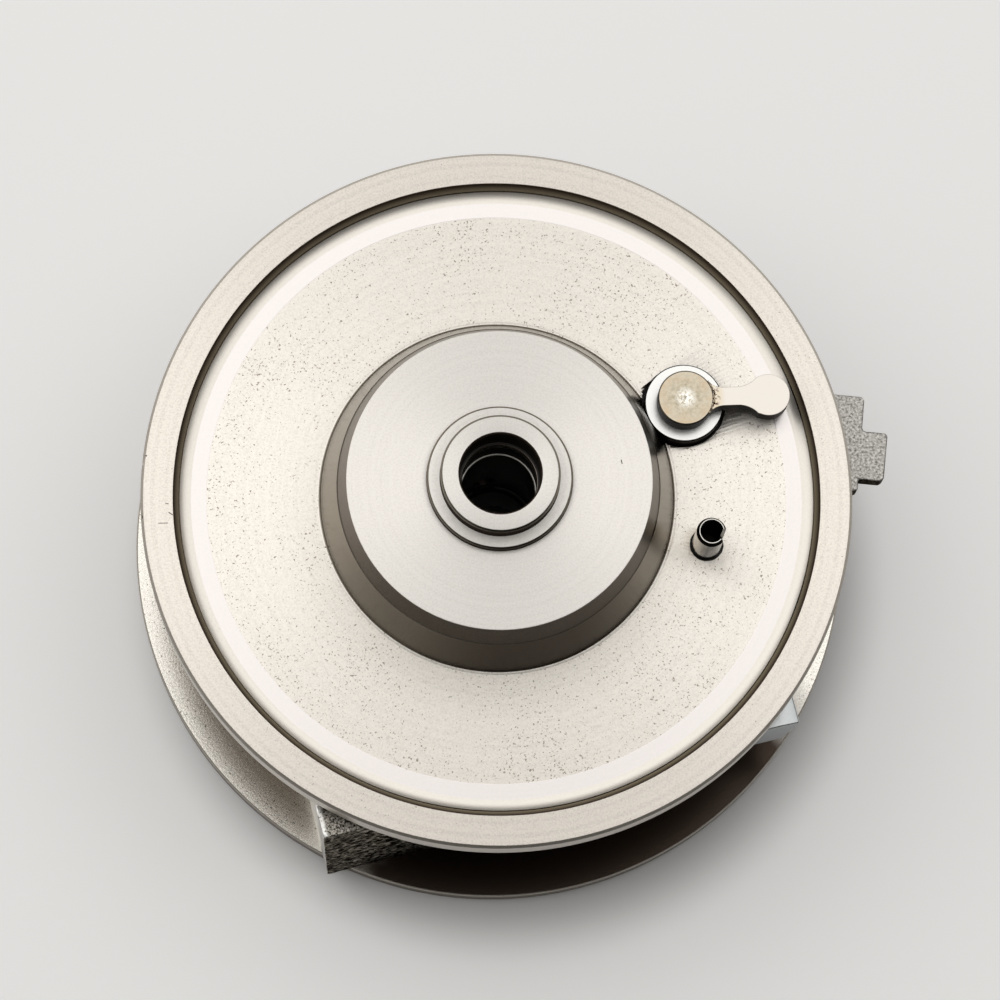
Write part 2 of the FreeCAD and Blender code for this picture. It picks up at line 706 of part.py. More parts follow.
def crank_shaft():
    """The journal with its round head above and its riveted lever seat below."""
    body = new_body("crank_shaft")
    journal = new_sketch(body, "journal_circle", "XY_Plane", LEVER_TOP)
    circle(journal, CRANK_X, CRANK_Y, half("crank_journal_diameter"))
    pad(body, "journal", journal, f"{HEAD_BOTTOM} - {LEVER_TOP}")
    head = new_sketch(body, "head_circle", "XY_Plane", HEAD_BOTTOM)
    circle(head, CRANK_X, CRANK_Y, half("crank_head_diameter"))
    pad(body, "head", head, "Dim.crank_head_height")
    seat = new_sketch(body, "lever_seat_circle", "XY_Plane", f"({LEVER_TOP} - Dim.lever_thickness)")
    circle(seat, CRANK_X, CRANK_Y, half("lever_seat_diameter"))
    pad(body, "lever_seat", seat, "Dim.lever_thickness")
    top = number(HEAD_TOP)
    radius = number(half("crank_head_diameter"))

    def chosen(edge):
        return is_top_ring(edge, top, radius)

    round_edges(body, "head_edge", "PartDesign::Chamfer", "Dim.crank_head_chamfer", chosen)
    return body


def crank_arm():
    """The inner arm: a narrow neck that swells into the round end that moves the ring."""
    body = new_body("crank_arm")
    head = half("crank_head_diameter")
    neck = half("arm_neck_width")
    end = half("arm_end_diameter")
    fillet = "Dim.arm_neck_fillet"
    rise = f"({neck} + {fillet})"
    reach = f"({end} + {fillet})"
    step = f"sqrt({reach} * {reach} - {rise} * {rise})"
    neck_end = f"(Dim.arm_length - {step})"
    swell_across = f"(Dim.arm_length - {step} * {end} / {reach})"
    swell_up = f"({rise} * {end} / {reach})"
    root = f"sqrt({head} * {head} - {neck} * {neck})"
    middle_across = f"({CRANK_X} * cos(Dim.arm_azimuth) + {CRANK_Y} * sin(Dim.arm_azimuth))"
    middle_up = f"({CRANK_Y} * cos(Dim.arm_azimuth) - {CRANK_X} * sin(Dim.arm_azimuth))"

    def at(across, up):
        return (f"({middle_across} + {across})", f"({middle_up} + {up})")

    sketch = new_sketch(body, "arm_outline", "XY_Plane", HEAD_BOTTOM, "Dim.arm_azimuth")
    outline(sketch, [
        at(root, f"-{neck}"),
        (*at(neck_end, f"-{neck}"), fillet, "right"),
        (*at(swell_across, f"-{swell_up}"), end, "left"),
        (*at(f"(Dim.arm_length + {end})", "0"), end, "left"),
        (*at(swell_across, swell_up), fillet, "right"),
        at(neck_end, neck),
        (*at(root, neck), head, "right"),
    ])
    pad(body, "arm_plate", sketch, "Dim.crank_head_height")
    return body


def outer_lever():
    """The outer lever: a tapered plate from the shaft to its drive pin."""
    body = new_body("outer_lever")
    eye = half("lever_eye_diameter")
    end = half("lever_end_diameter")
    lean = f"(({eye} - {end}) / Dim.lever_length)"
    level = f"sqrt(1 - {lean} * {lean})"
    middle_across = f"({CRANK_X} * cos(Dim.lever_azimuth) + {CRANK_Y} * sin(Dim.lever_azimuth))"
    middle_up = f"({CRANK_Y} * cos(Dim.lever_azimuth) - {CRANK_X} * sin(Dim.lever_azimuth))"

    def at(across, up):
        return (f"({middle_across} + {across})", f"({middle_up} + {up})")

    sketch = new_sketch(body, "lever_outline", "XY_Plane", f"({LEVER_TOP} - Dim.lever_thickness)",
                        "Dim.lever_azimuth")
    outline(sketch, [
        (*at(f"-{eye}", "0"), eye, "left"),
        at(f"{eye} * {lean}", f"-{eye} * {level}"),
        (*at(f"(Dim.lever_length + {end} * {lean})", f"-{end} * {level}"), end, "left"),
        (*at(f"(Dim.lever_length + {end})", "0"), end, "left"),
        at(f"(Dim.lever_length + {end} * {lean})", f"{end} * {level}"),
        (*at(f"{eye} * {lean}", f"{eye} * {level}"), eye, "left"),
    ])
    pad(body, "lever_plate", sketch, "Dim.lever_thickness")
    seat = new_sketch(body, "lever_eye_circle", "XY_Plane", LEVER_TOP)
    circle(seat, CRANK_X, CRANK_Y, half("lever_seat_diameter"))
    pocket(body, "lever_eye", seat, "Dim.lever_thickness + 1")
    return body


def lever_pin():
    """The round drive pin that hangs from the far end of the outer lever."""
    body = new_body("lever_pin")
    pin_x = f"({CRANK_X} + Dim.lever_length * cos(Dim.lever_azimuth))"
    pin_y = f"({CRANK_Y} + Dim.lever_length * sin(Dim.lever_azimuth))"
    plate_bottom = f"({LEVER_TOP} - Dim.lever_thickness)"
    sketch = new_sketch(body, "lever_pin_circle", "XY_Plane", f"({plate_bottom} - Dim.lever_pin_height)")
    circle(sketch, pin_x, pin_y, half("lever_pin_diameter"))
    pad(body, "lever_pin_shank", sketch, "Dim.lever_pin_height")
    return body


bodies = [
    bearing_housing(),
    crank_bush(),
    crank_shaft(),
    crank_arm(),
    outer_lever(),
    lever_pin(),
    roll_pin(),
]

doc.recompute()
for item in doc.Objects:
    if "Invalid" in item.State or "Error" in item.State:
        raise RuntimeError(f"{item.Label} failed: {item.State}")
for body in bodies:
    if body.Shape.isNull() or not body.Shape.isValid() or len(body.Shape.Solids) != 1:
        raise RuntimeError(f"{body.Label} is not one valid solid")

os.makedirs("parts", exist_ok=True)
for body in bodies:
    body.Shape.exportStep(f"parts/{body.Label}.step")
    box = body.Shape.BoundBox
    spans = f"{box.XLength:.2f} x {box.YLength:.2f} x {box.ZLength:.2f} mm"
    print(f"{body.Label}: {body.Shape.Volume:.1f} mm3, {spans}")
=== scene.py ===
import math

import bmesh
import bpy
from mathutils import Matrix, Vector, noise


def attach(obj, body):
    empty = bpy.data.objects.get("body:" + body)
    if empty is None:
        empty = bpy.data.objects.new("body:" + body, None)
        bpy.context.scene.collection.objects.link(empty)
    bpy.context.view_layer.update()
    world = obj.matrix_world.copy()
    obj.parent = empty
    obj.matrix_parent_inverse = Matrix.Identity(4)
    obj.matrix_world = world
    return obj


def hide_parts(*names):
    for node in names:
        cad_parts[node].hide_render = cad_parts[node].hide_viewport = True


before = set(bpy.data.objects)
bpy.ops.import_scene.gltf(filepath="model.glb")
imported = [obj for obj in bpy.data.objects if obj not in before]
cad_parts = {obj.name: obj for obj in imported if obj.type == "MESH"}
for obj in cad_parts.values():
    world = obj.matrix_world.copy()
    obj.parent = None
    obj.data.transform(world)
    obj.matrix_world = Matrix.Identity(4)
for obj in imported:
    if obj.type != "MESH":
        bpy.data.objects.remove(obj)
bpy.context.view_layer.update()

# View and light
# The housing is looked at from above, a little from its front, through a long lens. One
# broad soft lamp hangs over it, towards the back left, and a dim room fills the rest.
camera_data = bpy.data.cameras.new("studio_camera")
camera_data.sensor_width = 36
camera_data.lens = 144
camera_data.clip_start = 0.01
camera_data.clip_end = 100
camera = bpy.data.objects.new("studio_camera", camera_data)
right = Vector((0.9994, -0.0038, 0.0339))
back = Vector((-0.0339, -0.2187, 0.9752)).normalized()
up = back.cross(right).normalized()
right = up.cross(back)
turn = Matrix((right, up, back)).transposed().to_4x4()
camera.matrix_world = Matrix.Translation((-0.02240, -0.14827, 0.70201)) @ turn
bpy.context.collection.objects.link(camera)
bpy.context.scene.camera = camera
bpy.context.scene.view_settings.view_transform = "Standard"

# One large softbox, brightest in its middle: a bright panel in front of a dimmer, wider one
SOFTBOX = [("softbox_middle", 3.3, 1.42, 1.25, 0.77), ("softbox_edge", 4.6, 2.2, 1.27, 0.21)]
for name, width, depth, height, radiance in SOFTBOX:
    lamp_data = bpy.data.lights.new(name, "AREA")
    lamp_data.shape = "RECTANGLE"
    lamp_data.size = width
    lamp_data.size_y = depth
    lamp_data.energy = radiance * width * depth * math.pi
    lamp = bpy.data.objects.new(name, lamp_data)
    lamp.matrix_world = Matrix.Translation((-0.45, 0.52, height))
    bpy.context.collection.objects.link(lamp)


def add_node(tree, kind, inputs=None, **settings):
    """Adds one node with its settings; an input is a plain value or another node's output."""
    node = tree.nodes.new(kind)
    for key, value in settings.items():
        setattr(node, key, value)
    for key, value in (inputs or {}).items():
        if isinstance(value, bpy.types.NodeSocket):
            tree.links.new(value, node.inputs[key])
        else:
            node.inputs[key].default_value = value
    return node


# The room is dim, and less so towards the back left than behind the camera
world = bpy.data.worlds.new("dim_room")
world.use_nodes = True
tree = world.node_tree
gaze = add_node(tree, "ShaderNodeTexCoord").outputs["Generated"]
towards = add_node(
    tree, "ShaderNodeVectorMath", {0: gaze, 1: (-0.55, 0.83, 0.0)}, operation="DOT_PRODUCT"
)
level = add_node(
    tree, "ShaderNodeMapRange",
    {"Value": towards.outputs["Value"], "From Min": -0.83, "From Max": 0.83,
     "To Min": 0.02, "To Max": 0.34}
)
tree.links.new(level.outputs["Result"], tree.nodes["Background"].inputs["Strength"])
tree.nodes["Background"].inputs["Color"].default_value = (1.0, 0.985, 0.96, 1)
bpy.context.scene.world = world

# Turned and blasted casting
# The housing is one iron casting, blasted bright, with its two flanges, its recess, its
# hub and its nose turned on a lathe and its bearing bore machined through the middle.
MM = 0.001
TURN_STEPS = 400
# Edges that turn by more than this many degrees stay sharp to the eye
SHARP = 32
SOFT_SHARP = 40


def linear(code):
    """A colour written as sRGB hex, as the linear red, green, blue and alpha of a socket."""
    parts = [int(code[place:place + 2], 16) / 255 for place in (1, 3, 5)]
    return tuple(
        c / 12.92 if c <= 0.04045 else ((c + 0.055) / 1.055) ** 2.4 for c in parts
    ) + (1.0,)


def metal(name, colour, roughness, anisotropy=0.0):
    """A bare metal: its material, its node tree, its shader and its object coordinates."""
    material = bpy.data.materials.new(name)
    material.use_nodes = True
    tree = material.node_tree
    shader = tree.nodes["Principled BSDF"]
    shader.inputs["Base Color"].default_value = linear(colour)
    shader.inputs["Metallic"].default_value = 1.0
    shader.inputs["Roughness"].default_value = roughness
    if anisotropy:
        shader.inputs["Anisotropic"].default_value = anisotropy
        shader.inputs["Anisotropic Rotation"].default_value = 0.25
        tangent = add_node(tree, "ShaderNodeTangent", direction_type="RADIAL", axis="Z")
        tree.links.new(tangent.outputs["Tangent"], shader.inputs["Tangent"])
    place = add_node(tree, "ShaderNodeTexCoord").outputs["Object"]
    return material, tree, shader, place


def grained(tree, shader, place, grain_mm, height_mm, detail=2.0, roughness=0.5):
    """Fine unevenness of a grain size and a height in millimetres; gives back its noise."""
    pattern = {"Vector": place, "Scale": 1000 / grain_mm, "Detail": detail, "Roughness": roughness}
    grain = add_node(tree, "ShaderNodeTexNoise", pattern).outputs["Fac"]
    bump = add_node(
        tree, "ShaderNodeBump", {"Height": grain, "Strength": 1.0, "Distance": height_mm * MM}
    )
    tree.links.new(bump.outputs["Normal"], shader.inputs["Normal"])
    return grain


def tinted(tree, shader, mask, colour, stain_or_painted_light):
    """Colours a surface from its own colour to a second one, a real stain or painted light, by a
    mask from 0 to 1.
    """
    mix = add_node(tree, "ShaderNodeMix", {"Factor": mask}, data_type="RGBA")
    mix.inputs["A"].default_value = linear(colour)
    mix.inputs["B"].default_value = linear(stain_or_painted_light)
    tree.links.new(mix.outputs["Result"], shader.inputs["Base Color"])
    return mix


def over(tree, shader, below, mask, colour):
    """Lays a colour over the one below, where the mask is."""
    mix = add_node(tree, "ShaderNodeMix", {"Factor": mask, "A": below}, data_type="RGBA")
    mix.inputs["B"].default_value = linear(colour)
    tree.links.new(mix.outputs["Result"], shader.inputs["Base Color"])
    return mix.outputs["Result"]


def facing(tree, place, direction):
    """How far a place lies towards one side of the axis, from -1 to 1."""
    level = add_node(tree, "ShaderNodeVectorMath", {0: place, 1: (1, 1, 0)}, operation="MULTIPLY")
    level = add_node(
        tree, "ShaderNodeVectorMath", {0: level.outputs["Vector"]}, operation="NORMALIZE"
    )
    side = {0: level.outputs["Vector"], 1: direction}
    return add_node(tree, "ShaderNodeVectorMath", side, operation="DOT_PRODUCT").outputs["Value"]


# Turned cast iron, blasted after turning: a fine even grain that glitters a little, with
# rings of tool marks that stretch the light along the radius. Grain and rings are drawn
# about twice as coarse as the real ones, so that they show at this picture's size.
def turned_grain(name, colour, roughness, anisotropy=0.0, grain_mm=0.25, grain_height=0.01,
                 ring_height=0.0, pits=0.0, stain_or_painted_light="#6E6252", tone=0.30):
    """A turned face with blasted grain, faint tool rings and, where asked, open pits."""
    material, tree, shader, place = metal(name, colour, roughness, anisotropy)
    grained(tree, shader, place, grain_mm, grain_height, roughness=0.6)
    if ring_height:
        flat = add_node(
            tree, "ShaderNodeVectorMath", {0: place, 1: (1, 1, 0)}, operation="MULTIPLY"
        )
        radius = add_node(
            tree, "ShaderNodeVectorMath", {0: flat.outputs["Vector"]}, operation="LENGTH"
        )
        fine = {"W": radius.outputs["Value"], "Scale": 1000 / 0.22, "Detail": 3.0}
        wide = {"W": radius.outputs["Value"], "Scale": 1000 / 0.8, "Detail": 4.0}
        rings = add_node(tree, "ShaderNodeTexNoise", fine, noise_dimensions="1D")
        bands = add_node(tree, "ShaderNodeTexNoise", wide, noise_dimensions="1D")
        marks = {
            "Height": rings.outputs["Fac"], "Normal": shader.inputs["Normal"].links[0].from_socket
        }
        bump = add_node(
            tree, "ShaderNodeBump", {**marks, "Strength": 1.0, "Distance": ring_height * MM}
        )
        tree.links.new(bump.outputs["Normal"], shader.inputs["Normal"])
    soot = {"Vector": place, "Scale": 1000 / 0.32, "Detail": 3.0, "Roughness": 0.7}
    grey = add_node(tree, "ShaderNodeTexNoise", soot)
    tones = grey.outputs["Fac"]
    if ring_height:
        band_share = 0.24
        mixed = {0: bands.outputs["Fac"], 1: band_share, 2: tones}
        tones = add_node(tree, "ShaderNodeMath", mixed, operation="MULTIPLY_ADD").outputs["Value"]
        level = {0: tones, 1: band_share / 2}
        tones = add_node(tree, "ShaderNodeMath", level, operation="SUBTRACT").outputs["Value"]
    mask = add_node(
        tree, "ShaderNodeMapRange",
        {"Value": tones, "From Min": 0.42, "From Max": 0.80, "To Max": tone}
    )
    result = mask.outputs["Result"]
    if pits:
        spots = {"Vector": place, "Scale": 1000 / 0.36, "Detail": 1.5, "Roughness": 0.55}
        holes = add_node(tree, "ShaderNodeTexNoise", spots)
        drift = add_node(
            tree, "ShaderNodeTexNoise", {"Vector": place, "Scale": 1000 / 14, "Detail": 1.0}
        )
        offset = add_node(
            tree, "ShaderNodeMath", {0: drift.outputs["Fac"], 1: 0.16}, operation="MULTIPLY"
        )
        level = add_node(
            tree, "ShaderNodeMath", {0: holes.outputs["Fac"], 1: offset.outputs["Value"]},
            operation="ADD"
        )
        edges = {"From Min": 0.83 - pits, "From Max": 0.92 - pits, "To Max": 0.8}
        cut = add_node(tree, "ShaderNodeMapRange", {"Value": level.outputs["Value"], **edges})
        both = add_node(
            tree, "ShaderNodeMath", {0: result, 1: cut.outputs["Result"]}, operation="MAXIMUM"
        )
        result = both.outputs["Value"]
    tinted(tree, shader, result, colour, stain_or_painted_light)
    return material


# Turned sides, bores and hollows get a brown-black painted shade, hardly glossy, where the
# metal mirrors the dim room or shade falls, so they read as dark lines round the bright faces.
def painted_shade_finish(name, colour, roughness=0.5, gloss=0.02):
    """Painted shade: a dark colour over the metal, hardly glossy, a little uneven."""
    material, tree, shader, place = metal(name, colour, roughness)
    shader.inputs["Metallic"].default_value = 0.0
    shader.inputs["Specular IOR Level"].default_value = gloss
    grained(tree, shader, place, 0.5, 0.01)
    return material


# Rim: bright warm iron. Its rings spread the light, so left and right glow and front and back dim.
rim_face = turned_grain(
    "turned_blasted_iron_rim", "#FCF4E9", roughness=0.44, anisotropy=0.80, grain_mm=0.22,
    grain_height=0.012, ring_height=0.006, pits=0.03
)
# Edges of the rim and flanges: greyer turned iron that catches the lamp in a narrow band.
rim_wall = turned_grain(
    "turned_iron_rim_wall", "#C9C2B8", roughness=0.30, anisotropy=0.3, grain_height=0.008,
    ring_height=0.004
)
# Recess corner: clean pale iron, dull enough for its curve to fade softly into the dark.
recess_corner = turned_grain(
    "turned_iron_recess_corner", "#F6F0E6", roughness=0.45, grain_mm=0.22, grain_height=0.004,
    tone=0.10
)
# Land: smooth and near white, the brightest ring on the part.
land_face = turned_grain(
    "turned_iron_land", "#EEE8E4", roughness=0.28, anisotropy=0.5, grain_height=0.002,
    ring_height=0.003, tone=0.06
)
# Recess floor: warm iron with a sandy grain, faint rings and scattered brown pits.
floor_face = turned_grain(
    "turned_pitted_iron_floor", "#FFF9EF", roughness=0.42, anisotropy=0.76, grain_mm=0.22,
    grain_height=0.012, ring_height=0.006, pits=0.115, stain_or_painted_light="#6A5236", tone=0.24
)
# Hub cone: darker, shinier iron that mirrors the dim room.
cone_face = turned_grain("blasted_iron_hub_cone", "#8E877C", roughness=0.22, grain_height=0.006)

# The side of the cone towards the front, on the oil drain's side, is painted darker: painted shade
# for the dim room it mirrors there
tree = cone_face.node_tree
shader = tree.nodes["Principled BSDF"]
towards = facing(tree, add_node(tree, "ShaderNodeTexCoord").outputs["Object"], (0.24, -0.97, 0))
front_shade = add_node(
    tree, "ShaderNodeMapRange", {"Value": towards, "From Min": 0.70, "From Max": 0.97}
)
below = shader.inputs["Base Color"].links[0].from_socket
over(tree, shader, below, front_shade.outputs["Result"], "#625A50")

# Upper band of the cone: darker again, with a coarse worn grain.
cone_top = turned_grain(
    "blasted_iron_hub_cone_top", "#6A6259", roughness=0.28, grain_height=0.018, pits=0.08,
    stain_or_painted_light="#3A342C", tone=0.5
)
# Hub top: cool grey and finely ringed, with a silky sheen.
hub_face = turned_grain(
    "fine_turned_iron_hub_top", "#EFEAE3", roughness=0.39, anisotropy=0.82, grain_mm=0.22,
    grain_height=0.004, ring_height=0.010, tone=0.18
)
# Nose: the same silky iron, a little greyer.
nose_face = turned_grain(
    "turned_iron_nose", "#E8E4DD", roughness=0.40, anisotropy=0.78, grain_mm=0.3,
    grain_height=0.006, ring_height=0.006, tone=0.18
)
# Turned sides: painted shade, a brown-black line round each bright face.
dark_side = painted_shade_finish("painted_shade_on_turned_side", "#3B3027")
# Bearing bore: painted shade, almost black, with a weak shine.
bore_wall = painted_shade_finish("painted_shade_in_machined_bore", "#2B2621", roughness=0.30, gloss=0.2)

# Recess wall: painted shade, brown at its foot and darker upwards, for the soft shade under the
# rim's edge.
recess_shade = painted_shade_finish("painted_shade_in_recess_corner", "#8F836E")
tree = recess_shade.node_tree
place = add_node(tree, "ShaderNodeTexCoord").outputs["Object"]
height = add_node(tree, "ShaderNodeSeparateXYZ", {0: place}).outputs["Z"]
thick = add_node(
    tree, "ShaderNodeMapRange", {"Value": height, "From Min": 0.0441, "From Max": 0.0451}
)
tinted(tree, tree.nodes["Principled BSDF"], thick.outputs["Result"], "#8F836E", "#463B30")
# Lower flange: pale and smooth, so it mirrors the lamp on the left and the rim's shade in front.
flange_face = turned_grain(
    "blasted_iron_lower_flange", "#FFFAF0", roughness=0.20, grain_mm=0.35, ring_height=0.002,
    pits=0.10, stain_or_painted_light="#5A4D3C", tone=0.40
)

# The flange in front, on the oil drain's side, is painted brown-black in a ragged patch: painted
# shade where the rim above hides the lamp and the flange mirrors the dim room
tree = flange_face.node_tree
shader = tree.nodes["Principled BSDF"]
place = add_node(tree, "ShaderNodeTexCoord").outputs["Object"]
towards = facing(tree, place, (0.309, -0.951, 0))
cloud = add_node(tree, "ShaderNodeTexNoise", {"Vector": place, "Scale": 1000 / 9, "Detail": 4.0})
ragged = {0: cloud.outputs["Fac"], 1: 0.12, 2: towards}
spread = add_node(tree, "ShaderNodeMath", ragged, operation="MULTIPLY_ADD").outputs["Value"]
side_shade_mask = add_node(tree, "ShaderNodeMapRange", {"Value": spread, "From Min": 0.72, "From Max": 0.88})
below = shader.inputs["Base Color"].links[0].from_socket
over(tree, shader, below, side_shade_mask.outputs["Result"], "#3E352E")

# Under side and barrel: dull grey-brown iron in the shade.
under_face = turned_grain(
    "blasted_iron_under_side", "#776D61", roughness=0.40, grain_mm=0.45, grain_height=0.02
)
FINISHES = [
    bore_wall, nose_face, hub_face, cone_face, floor_face, land_face, recess_corner, rim_face,
    rim_wall, under_face, flange_face, cone_top, dark_side, recess_shade,
]
BORE, NOSE, HUB, CONE, FLOOR, LAND, CORNER, RIM, WALL, UNDER, FLANGE, CONE_TOP, SIDE, RECESS_SHADE = range(
    14
)

# The recess runs up to the rim in one hollow arc, clean at its foot and with painted shade at its
# top
RECESS_RADIUS, RECESS_ACROSS, RECESS_HEIGHT = 2.7, 51.85, 46.08
RECESS_ARC = []
for degrees in range(4, 72, 3):
    turn = math.radians(degrees)
    finish = CORNER if degrees < 37 else CONE if degrees < 43 else RECESS_SHADE
    across = RECESS_ACROSS + RECESS_RADIUS * math.sin(turn)
    RECESS_ARC.append((across, RECESS_HEIGHT - RECESS_RADIUS * math.cos(turn), 0, finish))

# Section of the casting, millimetres: radius, height, easing of the corner, and the
# finish of the stretch that follows it
CASTING_SECTION = [
    # Bearing bore, slinger chamber and the bore of the nose, upwards
    (6.2, 8.5, 0.2, BORE), (6.2, 19.3, 0, BORE), (7.2, 19.3, 0, BORE), (7.2, 37.0, 0, BORE),
    (6.2, 37.0, 0.1, BORE), (6.2, 47.55, 0, NOSE), (6.4, 47.8, 0, BORE), (10.5, 47.8, 0, BORE),
    (10.5, 53.1, 0, BORE), (6.32, 53.1, 0, WALL), (6.2, 53.22, 0, WALL), (6.2, 54.65, 0, CONE),
    (6.4, 54.9, 0, BORE), (6.7, 54.9, 0, BORE), (6.7, 60.85, 0.06, SIDE),
    # Nose, its collar, hub top and cone, outwards and down
    (6.95, 61.1, 0.06, NOSE), (9.55, 61.1, 0.1, CONE), (9.95, 60.65, 0.1, SIDE),
    (9.95, 58.1, 0.05, NOSE), (11.8, 58.1, 0.1, CONE), (12.15, 57.7, 0.1, SIDE),
    (12.15, 56.6, 0.05, HUB), (25.4, 56.6, 0.10, CONE_TOP), (26.93, 51.90, 0, CONE),
    (27.05, 51.88, 0, CONE), (29.9, 43.42, 0.3, FLOOR),
    # Recess floor with the thin groove round the hub's foot, land and rim
    (30.5, 43.42, 0, FLOOR), (30.57, 43.35, 0, FLOOR), (30.64, 43.42, 0, FLOOR),
    (48.95, 43.42, 0, LAND), (49.05, 43.46, 0.03, LAND), (51.6, 43.36, 0.5, CORNER), *RECESS_ARC,
    (54.5, 45.5, 0.10, RIM), (59.5, 45.5, 0.08, WALL), (60.0, 45.0, 0.08, WALL),
    # Under side, waist of the barrel and the lower flange
    (60.0, 40.0, 0.2, UNDER), (31.0, 37.5, 3.0, UNDER), (28.2, 34.1, 2.0, UNDER),
    (26.0, 31.0, 3.0, UNDER), (26.0, 20.0, 3.0, UNDER), (28.2, 12.9, 2.0, UNDER),
    (32.0, 9.5, 3.0, UNDER), (50.0, 4.2, 3.0, FLANGE), (62.6, 4.2, 0.1, WALL),
    # Compressor side, with its seal groove and its recesses, inwards
    (62.9, 3.9, 0.1, UNDER), (62.9, 0.0, 0.15, WALL), (54.6, 0.0, 0.05, WALL),
    (54.6, 1.9, 0.1, UNDER), (52.0, 1.9, 0.1, WALL), (52.0, 0.0, 0.05, WALL),
    (33.0, 0.0, 0.15, WALL), (33.0, 5.0, 0.2, WALL), (19.0, 5.0, 0.15, WALL),
    (19.0, 8.5, 0.2, WALL),
]


def eased(corners):
    """Points of a section whose corners are eased by arcs, each with its stretch's finish."""
    count = len(corners)
    points = []
    for index, (across, height, ease, finish) in enumerate(corners):
        here = Vector((across, height))
        before = Vector(corners[index - 1][:2])
        after = Vector(corners[(index + 1) % count][:2])
        if ease == 0:
            points.append((here, finish))
            continue
        to_before, to_after = (before - here).normalized(), (after - here).normalized()
        half = math.acos(max(-1.0, min(1.0, to_before.dot(to_after)))) / 2
        reach = min(
            ease / math.tan(half), (before - here).length * 0.49, (after - here).length * 0.97
        )
        radius = reach * math.tan(half)
        centre = here + (to_before + to_after).normalized() * (radius / math.sin(half))
        first = here + to_before * reach - centre
        sweep = first.angle_signed(here + to_after * reach - centre)
        steps = 10 if ease > 1.5 else 3
        for step in range(steps + 1):
            turn = -sweep * step / steps
            cosine, sine = math.cos(turn), math.sin(turn)
            spot = Vector((first.x * cosine - first.y * sine, first.x * sine + first.y * cosine))
            points.append(
                (centre + spot, corners[index - 1][3] if step < steps and ease < 1.5 else finish)
            )
    return points


def apply_modifiers(piece):
    """Makes what a piece's modifiers give its own mesh."""
    bpy.context.view_layer.update()
    done = piece.evaluated_get(bpy.context.evaluated_depsgraph_get())
    shape = bpy.data.meshes.new_from_object(done)
    piece.modifiers.clear()
    piece.data = shape
    return shape


def true_normals(piece, sharp):
    """Keeps flat faces flat to the eye right up to their eased edges."""
    piece.data.shade_smooth()
    piece.data.set_sharp_from_angle(angle=math.radians(sharp))
    weigh = piece.modifiers.new("weighted_normals", "WEIGHTED_NORMAL")
    weigh.weight = 100
    weigh.keep_sharp = True
    apply_modifiers(piece)
    return piece


def piece_from(name, vertices, faces, finishes, indices=None):
    """A mesh object at the origin, in metres, with smooth faces that stay sharp at its edges."""
    mesh = bpy.data.meshes.new(name)
    mesh.from_pydata([Vector(v) * MM for v in vertices], [], faces)
    for finish in finishes:
        mesh.materials.append(finish)
    if indices:
        mesh.polygons.foreach_set("material_index", indices)
    work = bmesh.new()
    work.from_mesh(mesh)
    bmesh.ops.remove_doubles(work, verts=work.verts, dist=1e-6)
    bmesh.ops.recalc_face_normals(work, faces=work.faces)
    work.to_mesh(mesh)
    work.free()
    mesh.shade_smooth()
    mesh.set_sharp_from_angle(angle=math.radians(SHARP))
    piece = bpy.data.objects.new(name, mesh)
    bpy.context.collection.objects.link(piece)
    return piece


def turned(name, corners, finishes, centre=(0, 0), steps=TURN_STEPS, start=0.0, sweep=360.0):
    """Turns a closed section about an upright axis; a part turn is closed at its two ends."""
    section = eased(corners)
    whole = sweep >= 360
    columns = steps if whole else steps + 1
    vertices = []
    for column in range(columns):
        angle = math.radians(start + sweep * column / steps)
        for point, _ in section:
            across, along = point.x * math.cos(angle), point.x * math.sin(angle)
            vertices.append((centre[0] + across, centre[1] + along, point.y))
    count = len(section)
    faces, indices = [], []
    for column in range(steps):
        after = (column + 1) % columns
        for row in range(count):
            below = (row + 1) % count
            here, there = column * count, after * count
            faces.append((here + row, there + row, there + below, here + below))
            indices.append(section[row][1])
    if not whole:
        faces.append(tuple(range(count)))
        faces.append(tuple(steps * count + row for row in range(count)))
        indices += [section[0][1]] * 2
    return true_normals(piece_from(name, vertices, faces, finishes, indices), SHARP)


def cut_away(piece, cutters):
    """Cuts the cutters out of a piece and keeps the result as its mesh."""
    for cutter in cutters:
        step = piece.modifiers.new("cut", "BOOLEAN")
        step.operation = "DIFFERENCE"
        step.solver = "EXACT"
        step.object = cutter
    apply_modifiers(piece)
    for cutter in cutters:
        bpy.data.objects.remove(cutter)
    true_normals(piece, SHARP)


def drill(name, start, end, radius, finish, steps=96, rough=0.0):
    """A round cutter from start to end, millimetres, with its wall a little uneven where asked."""
    start, end = Vector(start), Vector(end)
    along = (end - start).normalized()
    side = along.orthogonal().normalized()
    other = along.cross(side)
    vertices = []
    for place in (start, end):
        for step in range(steps):
            angle = 2 * math.pi * step / steps
            out = radius + rough * noise.noise(Vector((math.cos(angle), math.sin(angle), 0.3)) * 6)
            vertices.append(place + side * out * math.cos(angle) + other * out * math.sin(angle))
    faces = [(i, (i + 1) % steps, steps + (i + 1) % steps, steps + i) for i in range(steps)]
    faces += [tuple(range(steps)), tuple(range(steps, 2 * steps))]
    return piece_from(name, vertices, faces, FINISHES, [finish] * len(faces))


# Where the crank and the roll pin stand, which way the oil drain points, and how high
CRANK = (31.681, 15.795)
PIN = (35.331, -8.157)
DRAIN = (0.24192, -0.97030)
OIL_HEIGHT = 24
drain_end = (40 * DRAIN[0], 40 * DRAIN[1])
feed_end = (-40 * DRAIN[0], -40 * DRAIN[1])

